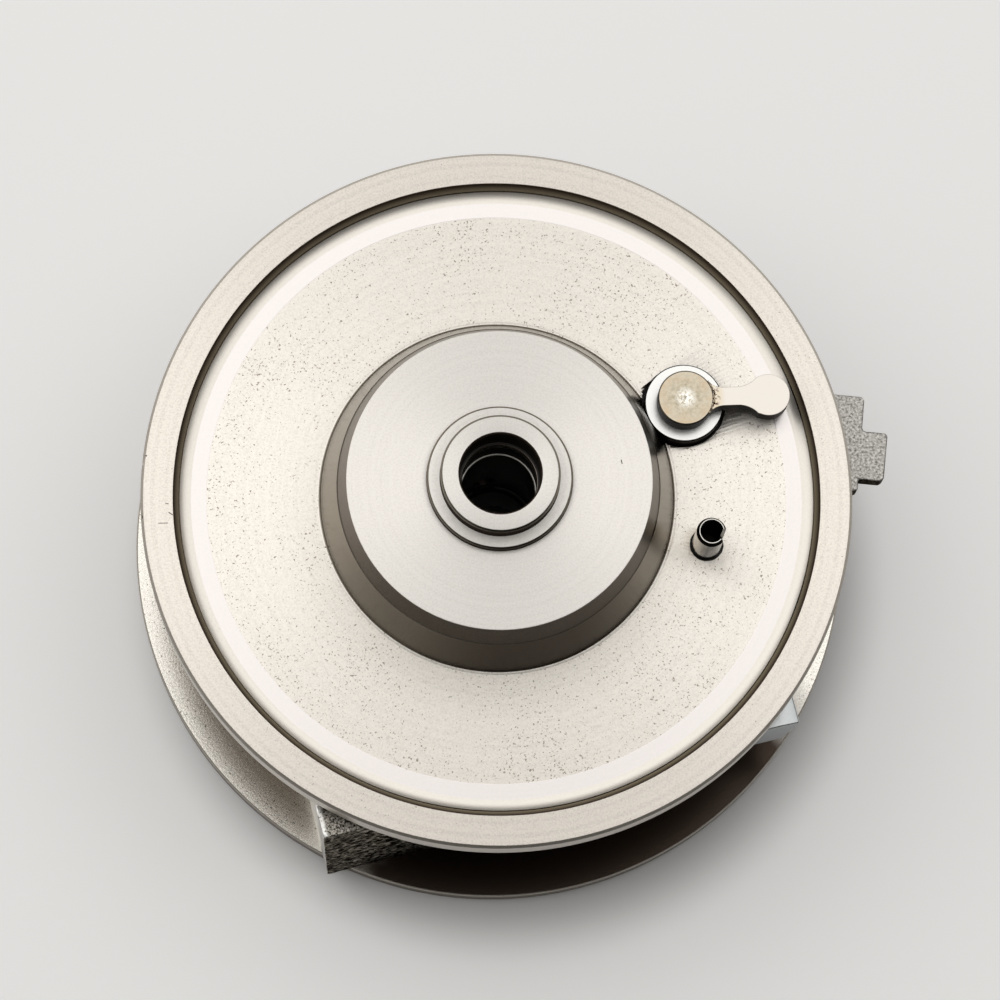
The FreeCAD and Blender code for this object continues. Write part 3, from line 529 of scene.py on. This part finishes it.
casting = turned("casting_turned", CASTING_SECTION, FINISHES)
cut_away(casting, [
    # The relief round the bush, the bush's seat, and the roll pin's hole
    drill("bush_relief_cutter", (*CRANK, 42.0), (*CRANK, 58.0), 7.10, BORE, 128, 0.10),
    drill("bush_seat_cutter", (*CRANK, 30.0), (*CRANK, 42.5), 6.62, BORE, 128),
    drill("pin_hole_cutter", (*PIN, 42.6), (*PIN, 50.0), 2.85, BORE, 64, 0.06),
    # The oil's ways in and out through the barrel
    drill("drain_cutter", (0, 0, OIL_HEIGHT), (*drain_end, OIL_HEIGHT), 8.5, UNDER),
    drill("feed_cutter", (0, 0, OIL_HEIGHT), (*feed_end, OIL_HEIGHT), 2.0, UNDER, 48),
    # Handling has left a chip, a dent and three scratches on the left of the rim
    drill("chip_cutter", (-60.15, 6.7, 45.45), (-60.20, 4.9, 45.45), 0.62, LAND, 24, 0.10),
    drill("chip_end_cutter", (-60.4, 6.9, 45.55), (-59.0, 6.3, 45.55), 0.14, SIDE, 12),
    drill("dent_cutter", (-60.3, -4.2, 45.4), (-59.5, -4.25, 45.4), 0.22, SIDE, 16, 0.05),
    drill("scratch_cutter", (-56.9, -5.25, 45.53), (-55.3, -5.20, 45.53), 0.07, UNDER, 10),
    drill("scratch_cutter", (-55.2, -3.35, 45.53), (-54.5, -3.80, 45.53), 0.09, UNDER, 10),
    drill("scratch_cutter", (-55.8, -1.80, 45.53), (-55.2, -1.92, 45.53), 0.07, UNDER, 10),
    drill("speck_cutter", (20.2, 3.4, 56.62), (20.35, 2.7, 56.62), 0.09, UNDER, 10),
])
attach(casting, "housing")
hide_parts("bearing_housing")

# Oil bosses
# Two round bosses cast on the waist of the barrel: the oil feed screws into the smaller
# one, and the oil runs out through the wider one. Each has a faced end and a bore.
def sand_cast(name, hollow, peak, roughness, grain_mm, height, low=0.42, high=0.66):
    """A skin from the sand mould: its grain's hollows painted dark and its grains painted bright,
    painted shade and highlights, and its coordinates.
    """
    material, tree, shader, place = metal(name, peak, roughness)
    shader.inputs["Specular Tint"].default_value = (0.25, 0.23, 0.21, 1)
    level = add_node(tree, "ShaderNodeVectorMath", {0: place, 1: (1, 1, 1.8)}, operation="MULTIPLY")
    grains = grained(tree, shader, level.outputs["Vector"], grain_mm, height, 3.0, 0.62)
    grain_light = add_node(
        tree, "ShaderNodeMapRange", {"Value": grains, "From Min": low, "From Max": high}
    )
    mix = tinted(tree, shader, grain_light.outputs["Result"], hollow, peak)
    return material, tree, mix, place


# Bosses: a rough grey-brown skin, with painted shade in its hollows.
cast_skin = sand_cast(
    "rough_cast_iron_skin", "#2E2822", "#8E8475", roughness=0.45, grain_mm=0.6, height=0.10
)[0]
BOSS_FINISHES = [cast_skin, rim_wall, bore_wall]


def oil_boss(name, direction, radius, reach, bore, depth):
    """A level boss on the barrel with a faced end and a bevelled bore, pointing outwards."""
    root, bevel, edge = 17.0, 0.8, 0.6
    section = [
        (bore, reach - depth, 0, 2), (bore, reach - bevel, 0.1, 1), (bore + bevel, reach, 0.1, 1),
        (radius - edge, reach, 0.3, 0), (radius, reach - edge, 0.3, 0), (radius, root, 0, 0),
        (bore, root, 0, 2),
    ]
    piece = turned(name, section, BOSS_FINISHES, steps=96)
    turn = Vector((0, 0, 1)).rotation_difference(Vector((*direction, 0))).to_matrix().to_4x4()
    piece.data.transform(Matrix.Translation((0, 0, OIL_HEIGHT * MM)) @ turn)
    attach(piece, "housing")
    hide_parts("bearing_housing")


inlet = (-DRAIN[0], -DRAIN[1])
oil_boss("oil_inlet_boss", inlet, radius=10.0, reach=44.0, bore=5.4, depth=12.0)
oil_boss("oil_drain_boss", DRAIN, radius=15.0, reach=45.0, bore=8.5, depth=20.0)

# Side block
# A square block cast between the flanges at the front left. Its skin is rough from the
# sand mould, its outer end is milled flat, and its top meets the flange in a small step.
ACROSS = Vector((-DRAIN[1], DRAIN[0], 0))
OUT = Vector((*DRAIN, 0))
# Milled end: pale grey with dark open pores.
milled_end = turned_grain(
    "milled_iron_block_end", "#D5D2CC", roughness=0.30, grain_mm=0.3, grain_height=0.02,
    stain_or_painted_light="#4A443C", tone=0.5
)
# Block: coarse black hollows between bright ridges, painted shade and highlights on its grain, the
# roughest face on the part.
block_skin = sand_cast(
    "sand_cast_iron_block", "#0B0908", "#E4DED2", roughness=0.30, grain_mm=1.0, height=0.26,
    low=0.47, high=0.68
)[0]
# Block's top: a finer dark grain with painted shade and highlights, and a bright strip of spots
# along its outer edge.
block_top, tree, mix, place = sand_cast(
    "sand_cast_iron_block_top", "#16120E", "#D8D1C5", roughness=0.30, grain_mm=0.34, height=0.05,
    low=0.38
)
along = add_node(
    tree, "ShaderNodeVectorMath", {0: place, 1: tuple(ACROSS)}, operation="DOT_PRODUCT"
)
strip = add_node(
    tree, "ShaderNodeMapRange",
    {"Value": along.outputs["Value"], "From Min": -0.0410, "From Max": -0.0414}
)
spot_noise = add_node(
    tree, "ShaderNodeTexNoise", {"Vector": place, "Scale": 1000 / 0.6, "Detail": 1.0}
).outputs["Fac"]
strip_spots = add_node(tree, "ShaderNodeMapRange", {"Value": spot_noise, "From Min": 0.36, "From Max": 0.48})
both = {0: strip.outputs["Result"], 1: strip_spots.outputs["Result"]}
bright = add_node(tree, "ShaderNodeMath", both, operation="MULTIPLY").outputs["Value"]
over(tree, tree.nodes["Principled BSDF"], mix.outputs["Result"], bright, "#FFFDF8")


def cast_bar(name, section, start, end, along, out, finishes, ease, lumps, end_finish=0):
    """A straight cast bar of one section, from start to end, with eased edges and a lumpy skin."""
    count = len(section)
    vertices = []
    for place in (start, end):
        for across, height in section:
            vertices.append(along * place + out * across + Vector((0, 0, height)))
    faces = [(i, (i + 1) % count, count + (i + 1) % count, count + i) for i in range(count)]
    faces += [tuple(range(count)), tuple(range(count, 2 * count))]
    piece = piece_from(name, vertices, faces, finishes, [0] * count + [end_finish, 0])
    edge = piece.modifiers.new("eased_edges", "BEVEL")
    edge.width = ease * MM
    edge.segments = 3
    shape = apply_modifiers(piece)
    if lumps:
        work = bmesh.new()
        work.from_mesh(shape)
        for _ in range(5):
            long_edges = [edge for edge in work.edges if edge.calc_length() > 0.9 * MM]
            bmesh.ops.subdivide_edges(work, edges=long_edges, cuts=1, use_grid_fill=True)
        bmesh.ops.triangulate(work, faces=[face for face in work.faces if len(face.verts) > 4])
        work.normal_update()
        for vertex in work.verts:
            spot = vertex.co / MM
            vertex.co += vertex.normal * (
                noise.noise(spot * 0.9) * 0.6 + noise.noise(spot * 2.3) * 0.4
            ) * lumps * MM
        work.to_mesh(shape)
        work.free()
    if len(finishes) > 2:
        for face in shape.polygons:
            if face.normal.z > 0.6:
                face.material_index = 2
            elif face.normal.dot(along) > 0.9 and end_finish == 0:
                face.material_index = 1
    true_normals(piece, SOFT_SHARP)
    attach(piece, "housing")
    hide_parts("bearing_housing")


BLOCK_SECTION = [(50.28, 3.6), (18.5, 3.6), (18.5, 39.5), (40.0, 39.5), (42.0, 36.5), (48.5, 36.5)]
cast_bar(
    "side_block", BLOCK_SECTION, start=-42.0, end=-12.0, along=ACROSS, out=OUT,
    finishes=[block_skin, milled_end, block_top], ease=0.25, lumps=0.22, end_finish=1
)

# Bracket foot
# A machined foot on the other side of the oil drain, bevelled along its outer edge, that
# carries the actuator's bracket. Its faces are smooth and a little bluer than the rest.

# Foot: smooth pale grey, a little blue, as fresh milling is.
foot_metal = turned_grain("milled_iron_foot", "#CDD1D0", roughness=0.30, grain_mm=0.3, tone=0.15)
# Foot's end: the same milling, darker in the shade of the flange.
foot_end = turned_grain(
    "milled_iron_foot_end", "#8F9496", roughness=0.34, grain_mm=0.3, stain_or_painted_light="#3A3632"
)
FOOT_SECTION = [(17.1, 21.5), (39.4, 21.5), (41.1, 34.5), (37.7, 35.5), (17.1, 35.5)]
cast_bar(
    "bracket_foot", FOOT_SECTION, start=14.5, end=48.5, along=OUT, out=ACROSS,
    finishes=[foot_metal, foot_end, foot_metal], ease=0.35, lumps=0.0
)

# Crank boss and stop lug
# The boss under the turbine flange takes the crank bush. A flat stepped lug, sawn and
# bead-blasted to a rough silver grain, reaches out of it past the flange.
boss_section = [
    (6.9, 24.3, 0.2, 0), (10.4, 24.3, 0, 0), (11.0, 24.9, 0.2, 0), (11.0, 40.0, 0, 0),
    (6.9, 40.0, 0, 0)
]
crank_boss = turned("crank_boss", boss_section, [cast_skin], CRANK, 96)
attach(crank_boss, "housing")
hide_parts("bearing_housing")

# Lug: an even rough silver grain, with painted highlights that sparkle a little.
lug_metal = sand_cast(
    "coarse_blasted_iron_lug", "#5E5A54", "#E2DFD8", roughness=0.36, grain_mm=0.45, height=0.10,
    low=0.30, high=0.70
)[0]
# Lug's edge: the same grain, darker: painted shade on the lug's sides and under side.
lug_side = sand_cast(
    "coarse_blasted_iron_lug_side", "#12100E", "#77736C", roughness=0.36, grain_mm=0.45, height=0.06
)[0]
LUG_ANGLE = math.radians(-5.5)
LUG_ALONG = Vector((math.cos(LUG_ANGLE), math.sin(LUG_ANGLE), 0))
LUG_SIDE = Vector((-LUG_ALONG.y, LUG_ALONG.x, 0))
LUG_OUTLINE = [
    (36.0, 10.56), (61.9, 10.56), (62.3, 10.9), (62.3, 12.76), (66.1, 12.76), (66.7, 13.3),
    (66.8, 20.9), (66.4, 21.4), (62.7, 21.4), (62.3, 21.8), (62.3, 27.0), (61.8, 27.5),
    (36.0, 27.5),
]


def flat_plate(name, outline, bottom, top, finishes, ease, along, side):
    """A flat plate of one outline, with eased edges."""
    count = len(outline)
    vertices = [along * a + side * s + Vector((0, 0, z)) for z in (bottom, top) for a, s in outline]
    faces = [(i, (i + 1) % count, count + (i + 1) % count, count + i) for i in range(count)]
    faces += [tuple(range(count)), tuple(range(count, 2 * count))]
    piece = piece_from(name, vertices, faces, finishes)
    edge = piece.modifiers.new("eased_edges", "BEVEL")
    edge.width = ease * MM
    edge.segments = 3
    edge.limit_method = "ANGLE"
    edge.angle_limit = math.radians(SOFT_SHARP)
    apply_modifiers(piece)
    if len(finishes) > 1:
        for face in piece.data.polygons:
            face.material_index = 0 if face.normal.z > 0.5 else 1
    return true_normals(piece, SOFT_SHARP)


lug = flat_plate(
    "stop_lug", LUG_OUTLINE, bottom=24.8, top=28.5, finishes=[lug_metal, lug_side], ease=0.35,
    along=LUG_ALONG, side=LUG_SIDE
)
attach(lug, "housing")
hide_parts("bearing_housing")

# Crank bush
# A hard steel bush pressed into the boss. Its top is ground and stands proud of the
# recess floor inside a bored relief, and it is the whitest face on the part.

# Bush top: clean white-grey steel with a soft gradient of the lamp.
bush_steel = turned_grain(
    "ground_bearing_steel", "#F1F0EC", roughness=0.28, grain_mm=0.4, grain_height=0.0008, tone=0.08
)
# Bush side: painted shade, a black ring that parts the bush from the floor.
bush_side = painted_shade_finish("painted_shade_on_bush_side", "#1C1713", roughness=0.35)
bush_section = [
    (3.55, 24.3, 0.1, 1), (6.7, 24.3, 0.1, 1), (6.7, 45.9, 0, 1), (6.5, 46.1, 0, 0),
    (3.55, 46.1, 0.1, 1)
]
bush = turned("crank_bush_ground", bush_section, [bush_steel, bush_side], CRANK, 160)
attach(bush, "housing")
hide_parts("crank_bush")

# Crank shaft and arm
# The shaft's round head is welded to the arm that moves the nozzle ring. The welding has
# tinted the steel straw and brown, and the centre of the head is peened.

# Shaft: plain turned steel, seen between the flanges and as a thin line round the head.
shaft_steel = turned_grain(
    "turned_steel_shaft", "#8C857B", roughness=0.30, grain_mm=0.3, grain_height=0.006
)
# Dark sides: painted shade, black edges under the head and the arm.
shaded_steel_side = painted_shade_finish("painted_shade_on_steel_side", "#1A1410", roughness=0.40)


def from_crank(tree, place):
    """Distance from the crank's axis, in metres."""
    axis = (-CRANK[0] * MM, -CRANK[1] * MM, 0)
    offset = add_node(tree, "ShaderNodeVectorMath", {0: place, 1: axis}, operation="ADD")
    flat = {0: offset.outputs["Vector"], 1: (1, 1, 0)}
    level = add_node(tree, "ShaderNodeVectorMath", flat, operation="MULTIPLY")
    return add_node(
        tree, "ShaderNodeVectorMath", {0: level.outputs["Vector"]}, operation="LENGTH"
    ).outputs["Value"]


def patchy(tree, place, size_mm, mask, low, high):
    """A mask broken up by patches of a size in millimetres."""
    pattern = {"Vector": place, "Scale": 1000 / size_mm, "Detail": 3.0, "Roughness": 0.6}
    patches = add_node(tree, "ShaderNodeTexNoise", pattern).outputs["Fac"]
    patches = add_node(
        tree, "ShaderNodeMapRange", {"Value": patches, "From Min": low, "From Max": high}
    )
    both = {0: patches.outputs["Result"], 1: mask}
    return add_node(tree, "ShaderNodeMath", both, operation="MULTIPLY").outputs["Value"]


# Head: heat-tinted steel, straw with rosy and grey patches, bright in its peened middle.
head_steel, tree, shader, place = metal("heat_tinted_steel_head", "#D9CDB8", 0.30)
out_from = from_crank(tree, place)
grained(tree, shader, place, 0.25, 0.008)
rosy = add_node(
    tree, "ShaderNodeMapRange", {"Value": out_from, "From Min": 0.0016, "From Max": 0.0045}
)
mix = tinted(
    tree, shader, patchy(tree, place, 1.6, rosy.outputs["Result"], 0.44, 0.70), "#D0C5B0", "#CDB595"
)
grey = add_node(
    tree, "ShaderNodeMapRange", {"Value": out_from, "From Min": 0.0048, "From Max": 0.0018}
)
colour = over(
    tree, shader, mix.outputs["Result"],
    patchy(tree, place, 0.5, grey.outputs["Result"], 0.40, 0.72),
    "#A1977F"
)
middle = add_node(
    tree, "ShaderNodeMapRange", {"Value": out_from, "From Min": 0.0020, "From Max": 0.0007}
)
over(
    tree, shader, colour, patchy(tree, place, 0.45, middle.outputs["Result"], 0.40, 0.50), "#FFFCF4"
)

HEAD_RADIUS, HEAD_BOTTOM, HEAD_TOP = 4.72, 46.4, 49.8
head_section = [
    (0.01, 20.0, 0, 0), (2.8, 20.0, 0, 0), (2.8, 24.0, 0, 0), (3.5, 24.0, 0, 0),
    (3.5, HEAD_BOTTOM, 0, 1), (HEAD_RADIUS, HEAD_BOTTOM, 0.1, 1), (HEAD_RADIUS, 49.62, 0.05, 0),
    (4.5, HEAD_TOP, 0.05, 2),
]
head_section += [(across, HEAD_TOP, 0, 2) for across in (1.7, 1.4, 1.15, 0.9, 0.65, 0.4, 0.2, 0.01)]
# Peening has left the middle of the head's top uneven
PEEN_RADIUS, PEEN_DEPTH = 1.6, 0.16
head = turned("crank_shaft_head", head_section, [shaft_steel, shaded_steel_side, head_steel], CRANK, 96)
for vertex in head.data.vertices:
    spot = vertex.co / MM
    peened = max(0.0, 1.0 - math.hypot(spot.x - CRANK[0], spot.y - CRANK[1]) / PEEN_RADIUS)
    if spot.z > HEAD_TOP - 0.1:
        vertex.co.z += MM * PEEN_DEPTH * peened * noise.noise(Vector((spot.x, spot.y, 0)) * 2.6)
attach(head, "crank")
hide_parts("crank_shaft")

ARM_ANGLE = math.radians(2.3)
ARM_ALONG = Vector((math.cos(ARM_ANGLE), math.sin(ARM_ANGLE), 0))
ARM_SIDE = Vector((-ARM_ALONG.y, ARM_ALONG.x, 0))


def arm_outline():
    """The arm: a narrow neck that swells into a round end, and a root against the head."""
    head_radius, neck, end, fillet, length = 4.65, 1.6, 3.58, 4.5, 14.0
    # The neck flares where it was welded to the head
    weld = [(3.75, 2.75), (4.15, 2.42), (4.6, 2.12), (5.1, 1.86), (5.7, 1.68), (6.3, 1.6)]
    reach = math.sqrt((end + fillet) ** 2 - (neck + fillet) ** 2)
    swell = math.atan2(neck + fillet, reach)
    right_half = list(weld)
    for step in range(13):
        angle = swell * step / 12
        across = neck + fillet - fillet * math.cos(angle)
        right_half.append((length - reach + fillet * math.sin(angle), across))
    join = math.atan2(right_half[-1][1], right_half[-1][0] - length)
    turns = [join - join * step / 20 for step in range(1, 21)]
    tip = [(length + end * math.cos(turn), end * math.sin(turn)) for turn in turns]
    upper = right_half + tip
    lower = [(a, -s) for a, s in reversed(upper[:-1])]
    root = math.asin(weld[0][1] / head_radius)
    turns = [-root + 2 * root * step / 6 for step in range(7)]
    inner = [(head_radius * math.cos(turn), head_radius * math.sin(turn)) for turn in turns]
    middle = Vector((*CRANK, 0))
    base = (middle.dot(ARM_ALONG), middle.dot(ARM_SIDE))
    return [(base[0] + a, base[1] + s) for a, s in inner + upper + lower]


# Arm: satin steel, tinted straw beside the weld, with dark spatter along it.
arm_steel, tree, shader, place = metal("satin_steel_arm", "#E8E1D7", 0.30)
out_from = from_crank(tree, place)
grained(tree, shader, place, 0.25, 0.004)
straw = add_node(
    tree, "ShaderNodeMapRange", {"Value": out_from, "From Min": 0.0068, "From Max": 0.0050}
)
mix = tinted(
    tree, shader, patchy(tree, place, 1.2, straw.outputs["Result"], 0.20, 0.60), "#E8E1D7",
    "#DECBA8"
)
spatter = add_node(
    tree, "ShaderNodeMapRange", {"Value": out_from, "From Min": 0.0060, "From Max": 0.0053}
)
over(
    tree, shader, mix.outputs["Result"],
    patchy(tree, place, 0.40, spatter.outputs["Result"], 0.50, 0.60),
    "#5B4636"
)
arm = flat_plate(
    "crank_arm_plate", arm_outline(), bottom=HEAD_BOTTOM, top=HEAD_TOP,
    finishes=[arm_steel, shaded_steel_side], ease=0.12, along=ARM_ALONG, side=ARM_SIDE
)
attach(arm, "crank")
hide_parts("crank_arm")

# The weld between head and arm is a thin uneven bead, 72 degrees long
BEAD_STEPS, BEAD_SIDES, BEAD_HEIGHT = 40, 8, 49.72
bead_vertices, bead_faces = [], []
for step in range(BEAD_STEPS + 1):
    turn = ARM_ANGLE + math.radians(-36 + 72 * step / BEAD_STEPS)
    wander = noise.noise(Vector((step * 0.31, 2.0, 0.5)))
    thick = 0.20 + 0.12 * noise.noise(Vector((step * 0.45, 7.0, 1.5)))
    for side in range(BEAD_SIDES):
        around = 2 * math.pi * side / BEAD_SIDES
        reach = HEAD_RADIUS + 0.22 * wander + thick * math.cos(around)
        height = BEAD_HEIGHT + thick * math.sin(around)
        bead_vertices.append(
            (CRANK[0] + reach * math.cos(turn), CRANK[1] + reach * math.sin(turn), height)
        )
for step in range(BEAD_STEPS):
    here, there = step * BEAD_SIDES, (step + 1) * BEAD_SIDES
    for side in range(BEAD_SIDES):
        after = (side + 1) % BEAD_SIDES
        bead_faces.append((here + side, here + after, there + after, there + side))
bead_faces += [
    tuple(range(BEAD_SIDES)), tuple(BEAD_STEPS * BEAD_SIDES + side for side in range(BEAD_SIDES))
]
# Weld: small brown and straw lumps.
weld_metal = sand_cast(
    "burnt_steel_weld", "#4A382B", "#D8C7AC", roughness=0.34, grain_mm=0.5, height=0.04, high=0.58
)[0]
weld_bead = piece_from("crank_weld_bead", bead_vertices, bead_faces, [weld_metal])
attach(weld_bead, "crank")
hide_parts("crank_arm")

# Outer lever and drive pin
# Under the flange the shaft carries a pressed steel lever with a ground drive pin, which
# the actuator's rod turns.

# Lever: plain grey pressed steel.
lever_steel = turned_grain(
    "pressed_steel_lever", "#A9A59D", roughness=0.40, grain_mm=0.5, grain_height=0.02
)
# Drive pin: bright ground steel.
pin_steel = turned_grain(
    "ground_steel_drive_pin", "#C9C7C2", roughness=0.25, grain_mm=0.3, grain_height=0.004
)
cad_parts["outer_lever"].material_slots[0].material = lever_steel
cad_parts["lever_pin"].material_slots[0].material = pin_steel

# Roll pin
# A rolled spring-steel tube with one open slit, driven into the floor to place the nozzle
# ring. Its bevel and bore carry painted shade, its right side a painted dark reflection and its lip
# a painted highlight.

# Pin body: bright steel, with a painted dark reflection in upright streaks on its right.
spring_steel = turned_grain(
    "polished_spring_steel", "#C6BDAE", roughness=0.16, grain_mm=0.3, grain_height=0.002
)
tree = spring_steel.node_tree
shader = tree.nodes["Principled BSDF"]
place = add_node(tree, "ShaderNodeTexCoord").outputs["Object"]
axis = (-PIN[0] * MM, -PIN[1] * MM, 0)
offset = add_node(tree, "ShaderNodeVectorMath", {0: place, 1: axis}, operation="ADD")
far_side = {0: offset.outputs["Vector"], 1: (0.86, -0.50, 0)}
turned_away = add_node(
    tree, "ShaderNodeVectorMath", far_side, operation="DOT_PRODUCT"
).outputs["Value"]
side_shade_mask = add_node(
    tree, "ShaderNodeMapRange", {"Value": turned_away, "From Min": -0.0012, "From Max": 0.0008}
)
streaks = add_node(
    tree, "ShaderNodeVectorMath", {0: offset.outputs["Vector"], 1: (1, 1, 0.12)},
    operation="MULTIPLY"
)
below = shader.inputs["Base Color"].links[0].from_socket
over(
    tree, shader, below,
    patchy(tree, streaks.outputs["Vector"], 0.9, side_shade_mask.outputs["Result"], 0.20, 0.52),
    "#2A241D"
)
# Bevel: painted shade, a black ring under the pin's lip.
spring_bevel = painted_shade_finish("painted_shade_on_spring_steel_bevel", "#0F0C0A", roughness=0.35)
# Lip: a thin bright ring, lighter than the body: painted highlight.
spring_lip = turned_grain(
    "painted_highlight_spring_steel_lip", "#E8E4DC", roughness=0.25, grain_mm=0.3, grain_height=0.002
)
# Bore: painted shade, black.
spring_bore = painted_shade_finish("painted_shade_in_spring_steel_bore", "#070605", roughness=0.40)
pin_section = [
    (1.9, 39.5, 0, 0), (2.3, 39.5, 0, 0), (2.3, 43.2, 0, 0), (2.5, 43.5, 0, 0), (2.5, 53.3, 0.1, 1),
    (2.08, 54.3, 0, 2), (1.96, 54.3, 0, 3), (1.9, 54.2, 0, 3),
]
# The open slit, in degrees round the pin
SLIT_MIDDLE, HALF_SLIT = -15.0, 26.0
pin_finishes = [spring_steel, spring_bevel, spring_lip, spring_bore]
roll_pin = turned(
    "roll_pin_tube", pin_section, pin_finishes, PIN, 96, SLIT_MIDDLE + HALF_SLIT,
    360 - 2 * HALF_SLIT
)
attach(roll_pin, "housing")
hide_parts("roll_pin")

# Floor
# A plain pale sheet under the part. The camera and the metal see it a little brighter
# than the lamp alone makes it, and it keeps the part's soft shadow, deepened by a painted
# shadow where its glow fades out round the part.

# Paper: plain matt off-white, with a faint glow of its own to the camera and the metal.
paper = bpy.data.materials.new("pale_matt_paper")
paper.use_nodes = True
tree = paper.node_tree
shader = tree.nodes["Principled BSDF"]
shader.inputs["Base Color"].default_value = linear("#F0EFED")
shader.inputs["Roughness"].default_value = 0.9
shader.inputs["Specular IOR Level"].default_value = 0.1
rays = add_node(tree, "ShaderNodeLightPath")
seen = rays.outputs["Is Camera Ray"]
for kind in ("Is Glossy Ray", "Is Transmission Ray"):
    seen = add_node(
        tree, "ShaderNodeMath", {0: seen, 1: rays.outputs[kind]}, operation="MAXIMUM"
    ).outputs["Value"]
place = add_node(tree, "ShaderNodeTexCoord").outputs["Object"]
# Round the part the glow fades out, from 56 to 70 mm off a point a little right of and in front of
# its middle: a painted shadow.
offset = add_node(
    tree, "ShaderNodeVectorMath", {0: place, 1: (-0.003, 0.006, 0.0)}, operation="ADD"
)
distance = add_node(tree, "ShaderNodeVectorMath", {0: offset.outputs["Vector"]}, operation="LENGTH")
glow_outside_painted_shadow = {
    "Value": distance.outputs["Value"], "From Min": 0.056, "From Max": 0.070, "To Max": 0.34
}
clear = add_node(tree, "ShaderNodeMapRange", glow_outside_painted_shadow, interpolation_type="SMOOTHSTEP")
glow = add_node(tree, "ShaderNodeMath", {0: seen, 1: clear.outputs["Result"]}, operation="MULTIPLY")
shader.inputs["Emission Color"].default_value = linear("#E4E3E1")
tree.links.new(glow.outputs["Value"], shader.inputs["Emission Strength"])

# Half the width of the sheet, metres: it has no edge in the picture
HALF = 8
floor_mesh = bpy.data.meshes.new("studio_floor")
corners = [(-HALF, -HALF, 0), (HALF, -HALF, 0), (HALF, HALF, 0), (-HALF, HALF, 0)]
floor_mesh.from_pydata(corners, [], [(0, 1, 2, 3)])
floor_mesh.materials.append(paper)
studio_floor = bpy.data.objects.new("studio_floor", floor_mesh)
bpy.context.collection.objects.link(studio_floor)
